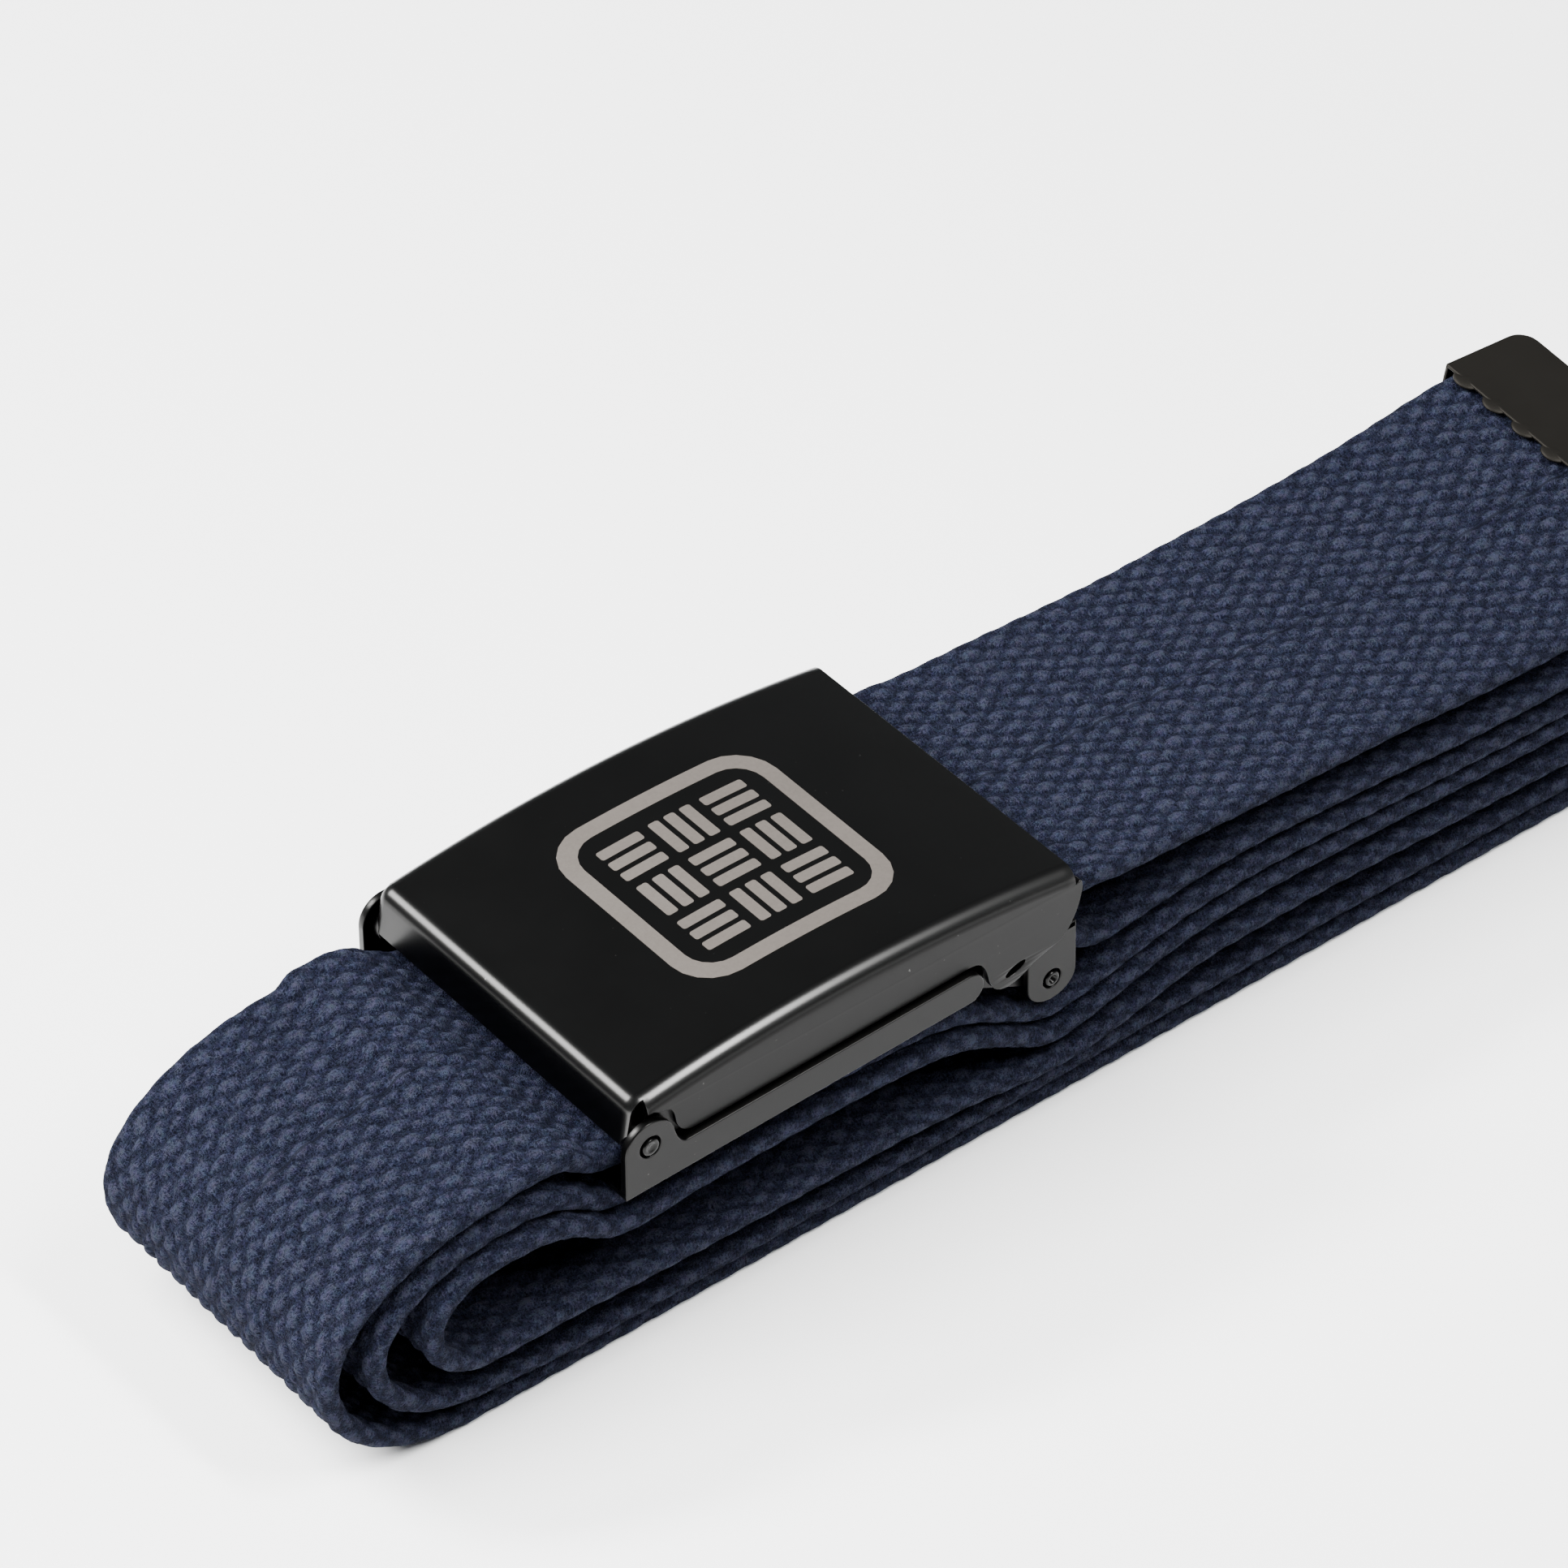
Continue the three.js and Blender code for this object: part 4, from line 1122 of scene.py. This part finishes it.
emblem = {
    "middle": 0.5,        # share of the lid's length
    "across": 27.0,
    "rim": 2.0,
    "cell": 6.6,
    "bar": 1.35,
    "barLength": 5.4,
    "barGap": 2.0,
    "barCorner": 0.3,
    "rimCorners": (5.0, 3.4),
    "proud": 0.035,
    "sunk": 0.1,
    "barStep": 0.5,       # points along the edges
    "rimStep": 0.9,
    "slice": 0.8,         # it is cut this often to follow the lid's arch
}


def roundedBar(length, width, corner):
    outline = []
    for i, (right, front) in enumerate(((1, 1), (-1, 1), (-1, -1), (1, -1))):
        middle = right * (length / 2 - corner), front * (width / 2 - corner)
        outline += arc(*middle, corner, i * math.pi / 2, (i + 1) * math.pi / 2, 5)
    return outline


def flatInlay(name, loops, step):
    # a thin closed plate round the origin, with points close enough to follow the arch
    rims = []
    for loop in loops:
        dense = []
        for (x0, y0), (x1, y1) in zip(loop, loop[1:] + loop[:1]):
            parts = max(int(math.hypot(x1 - x0, y1 - y0) / step), 1)
            dense += [(x0 + (x1 - x0) * k / parts, y0 + (y1 - y0) * k / parts) for k in range(parts)]
        rims.append(dense)
    points = [(x + bundle["middle"], y, z) for z in (0.1, -0.1) for loop in rims for x, y in loop]
    piece = meshObject(name, points, slab(rims))
    body = opened(piece)
    bmesh.ops.recalc_face_normals(body, faces=body.faces)
    closed(body, piece.data)
    return piece


def makeEmblem():
    centreX = lidFront + lid["length"] * emblem["middle"]
    tree, make, entry = newTree("basketBars", ("Cell", "Bar Gap"), "Finish")
    points = make.node("GeometryNodePoints", None, {"Count": 27})   # three bars in each of nine cells
    number = make.node("GeometryNodeInputIndex")
    cell = (number / 3).calculate("FLOOR")
    bar = number - cell * 3 - 1
    line = (cell / 3).calculate("FLOOR")
    column = cell - line * 3 - 1
    turned = (cell * 0.5).fraction() * 2
    shiftX = bar * entry["Bar Gap"] * turned
    shiftY = bar * entry["Bar Gap"] * (1 - turned)
    spot = make.point(column * entry["Cell"] + shiftX, (line - 1) * entry["Cell"] + shiftY, 0.0)
    spread = make.node("GeometryNodeSetPosition", None, {"Geometry": points, "Position": spot})
    spin = make.point(0.0, 0.0, turned * (math.pi / 2))
    bars = make.node("GeometryNodeInstanceOnPoints", None, {
        "Points": spread, "Instance": entry["Geometry"], "Rotation": spin,
    })
    closeTree(make, bars, entry["Finish"])

    outline = roundedBar(emblem["barLength"], emblem["bar"], emblem["barCorner"])
    piece = flatInlay("lidEmblem", [outline], emblem["barStep"])
    applyTree(piece, tree, {
        "Cell": emblem["cell"] / 1000, "Bar Gap": emblem["barGap"] / 1000, "Finish": emblemMetal,
    })
    size = emblem["across"]
    sides = (size, size - 2 * emblem["rim"])
    rims = [roundedBar(w, w, corner) for w, corner in zip(sides, emblem["rimCorners"])]
    rim = flatInlay("rim", rims, emblem["rimStep"])
    whole = joinPieces("lidEmblem", [piece, rim])
    body = opened(whole)
    for x in np.arange(-size / 2, size / 2, emblem["slice"]):
        everything = body.verts[:] + body.edges[:] + body.faces[:]
        bmesh.ops.bisect_plane(body, geom=everything, plane_co=(x / 1000, 0, 0), plane_no=(1, 0, 0))
    closed(body, whole.data)
    for vertex in whole.data.vertices:
        x = vertex.co.x * 1000 + centreX
        lift = emblem["proud"] if vertex.co.z > 0 else -emblem["sunk"]
        vertex.co = Vector(place((x, vertex.co.y * 1000, archTop(x) + lift)))
    whole.data.update()
    whole.data.materials.clear()
    whole.data.materials.append(emblemMetal)
    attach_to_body(whole, "lid")
    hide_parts("buckle_lid")
    print("emblem made")


# Tip: a folded cap, pressed on the web with a row of crimps

tip = {
    "length": 12.0,
    "wall": 0.45,
    "round": 2.4,
    "cover": 9.5,
    "beyond": 3.2,
    "dip": math.radians(4.0),
    "edge": 0.35,
    "crimps": 8,
    "crimpMiddle": 0.5,      # from the cap's open edge
    "crimpSize": (1.5, 1.75, 0.36),
    "crimpSink": 0.34,
}
tipStart = bundle["length"] + tip["beyond"] - tip["length"]
webEndX = tipStart + tip["cover"]


def makeTip():
    gap = bundle["layerGap"]
    halfY = web["width"] / 2 + gap + tip["wall"]
    halfZ = halfWeb + gap + tip["wall"]
    r = tip["round"]
    cornerX, cornerY = tip["length"] - r, halfY - r
    plan = [(0.0, -halfY)] + arc(cornerX, -cornerY, r, -math.pi / 2, 0, 8)
    plan += arc(cornerX, cornerY, r, 0, math.pi / 2, 8) + [(0.0, halfY)]
    count = len(plan)
    points = [(x, y, -halfZ) for x, y in plan] + [(x, y, halfZ) for x, y in plan]
    faces = [tuple(reversed(range(count))), tuple(range(count, 2 * count))]
    faces += [(i, (i + 1) % count, (i + 1) % count + count, i + count) for i in range(count)]
    cap = meshObject("beltTip", points, faces)
    roomY, roomZ = web["width"] / 2 + gap, halfWeb + gap
    room = meshObject("tipRoom", [
        (x, y, z) for x in (-3, tip["cover"] + gap) for y in (-roomY, roomY) for z in (-roomZ, roomZ)
    ], [(0, 1, 3, 2), (4, 6, 7, 5), (0, 4, 5, 1), (2, 3, 7, 6), (0, 2, 6, 4), (1, 5, 7, 3)])
    cut = cap.modifiers.new("room", "BOOLEAN")
    cut.operation = "DIFFERENCE"
    cut.object = room
    cut.solver = "EXACT"
    plainMesh(cap)
    bpy.data.objects.remove(room)
    softEdges(cap, tip["edge"], 4, 40)
    # crimps along both open edges
    body = opened(cap)
    crimpSize = np.array(tip["crimpSize"])
    for side in (-1, 1):
        for k in range(tip["crimps"]):
            y = (k + 0.5 - tip["crimps"] / 2) * (web["width"] / tip["crimps"])
            middle = np.array((tip["crimpMiddle"], y, side * (halfZ - tip["crimpSink"])))
            dome = bmesh.ops.create_uvsphere(body, u_segments=20, v_segments=10, radius=1.0)["verts"]
            for vertex in dome:
                vertex.co = Vector(place(middle + np.array(vertex.co) * crimpSize))
    mesh = closed(body, bpy.data.meshes.new("beltTip"))
    shadeSmooth(mesh)
    bpy.data.objects.remove(cap)
    # put where the free end is, with its dip and twist
    turn = Matrix.Rotation(tip["dip"], 4, "Y") @ Matrix.Rotation(-twistAt(webEndX), 4, "X")
    home = Vector((-bundle["middle"] / 1000, 0, 0))
    seat = Vector(((tipStart - bundle["middle"]) / 1000, 0, freeWebHeight(tipStart) / 1000))
    mesh.transform(Matrix.Translation(seat) @ turn @ Matrix.Translation(-home))
    piece = linked("beltTip", mesh)
    piece.data.materials.append(tipMetal)
    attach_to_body(piece, "belt")
    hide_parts("belt_tip")
    print("tip made")


# Studio: pale floor, soft boxes and the camera at the photograph's angle

studio = {
    "eye": (-0.3603, -0.4175, 0.5009),
    "right": (0.779, -0.6266, 0.0),
    "up": (0.4079, 0.5073, 0.7591),
    "lens": 161.64,
    "world": 0.22,
    # towards, the line that its depth is laid along, distance, width, depth, power, seen in the metal
    "lamps": {
        "overheadBox": ((-0.65, 0.08, 1.0), (0, 1, 0), 0.85, 0.65, 0.65, 31, False),
        "leftBox": ((-0.46, 0.58, 0.67), (0.78, 0, 0.63), 1.5, 0.2, 0.6, 45, True),
        "rightBox": ((0.25, -0.45, 0.8), (0, 0.8, 0.45), 1.5, 0.12, 0.7, 34, True),
        "backCard": ((0.476, 0.592, 0.651), (0, 0, 1), 2.0, 1.5, 1.5, 1.6, True),
    },
}


def softBox(name, towards, along, distance, width, depth, power, mirrored):
    light = bpy.data.lights.new(name, "AREA")
    light.shape = "RECTANGLE"
    light.size, light.size_y = width, depth
    light.energy = power
    lamp = linked(name, light)
    lamp.visible_glossy = mirrored
    back = Vector(towards).normalized()
    side = Vector(along).cross(back).normalized()
    turn = Matrix((side, back.cross(side), back)).transposed().to_4x4()
    lamp.matrix_world = Matrix.Translation(back * distance) @ turn


def makeStudio():
    scene = bpy.context.scene
    camera = bpy.data.cameras.new("camera")
    camera.lens = studio["lens"]
    camera.sensor_width = 36
    camera.clip_start = 0.02
    camera.clip_end = 20
    viewer = linked("camera", camera)
    right, up = Vector(studio["right"]).normalized(), Vector(studio["up"]).normalized()
    back = right.cross(up)
    viewer.matrix_world = Matrix.Translation(studio["eye"]) @ Matrix((right, up, back)).transposed().to_4x4()
    scene.camera = viewer

    floorMaterial, make = newMaterial("paleFloor")
    spot = make.node("ShaderNodeTexCoord", out="Object")
    tone = make.mixColors(make.noise(spot, 3.0), rgb(0.84, 0.84, 0.84), rgb(0.88, 0.88, 0.88))
    closeMaterial(floorMaterial, make, {"Base Color": tone, "Roughness": 0.9, "Specular IOR Level": 0.1})
    mesh = bpy.data.meshes.new("floor")
    mesh.from_pydata([(-4, -4, 0), (4, -4, 0), (4, 4, 0), (-4, 4, 0)], [], [(0, 1, 2, 3)])
    mesh.materials.append(floorMaterial)
    ground = linked("floor", mesh)

    world = bpy.data.worlds.new("studio")
    scene.world = world
    world.use_nodes = True
    background = world.node_tree.nodes["Background"].inputs
    background["Color"].default_value = rgb(0.9, 0.95, 1.0)
    background["Strength"].default_value = studio["world"]

    for name, lamp in studio["lamps"].items():
        softBox(name, *lamp)
    print("studio set")


makeStudio()
makeWeb()
makeLid()
makeEmblem()
makeFrame()
makePin("hingePin", "hinge_pin", buckle["pinRadius"], 0.12)
makePin("clampPin", "clamp_pin", clamp["pinRadius"], 0.9)
makeTip()
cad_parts["clamp_plate"].data.materials.clear()
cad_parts["clamp_plate"].data.materials.append(frameMetal)
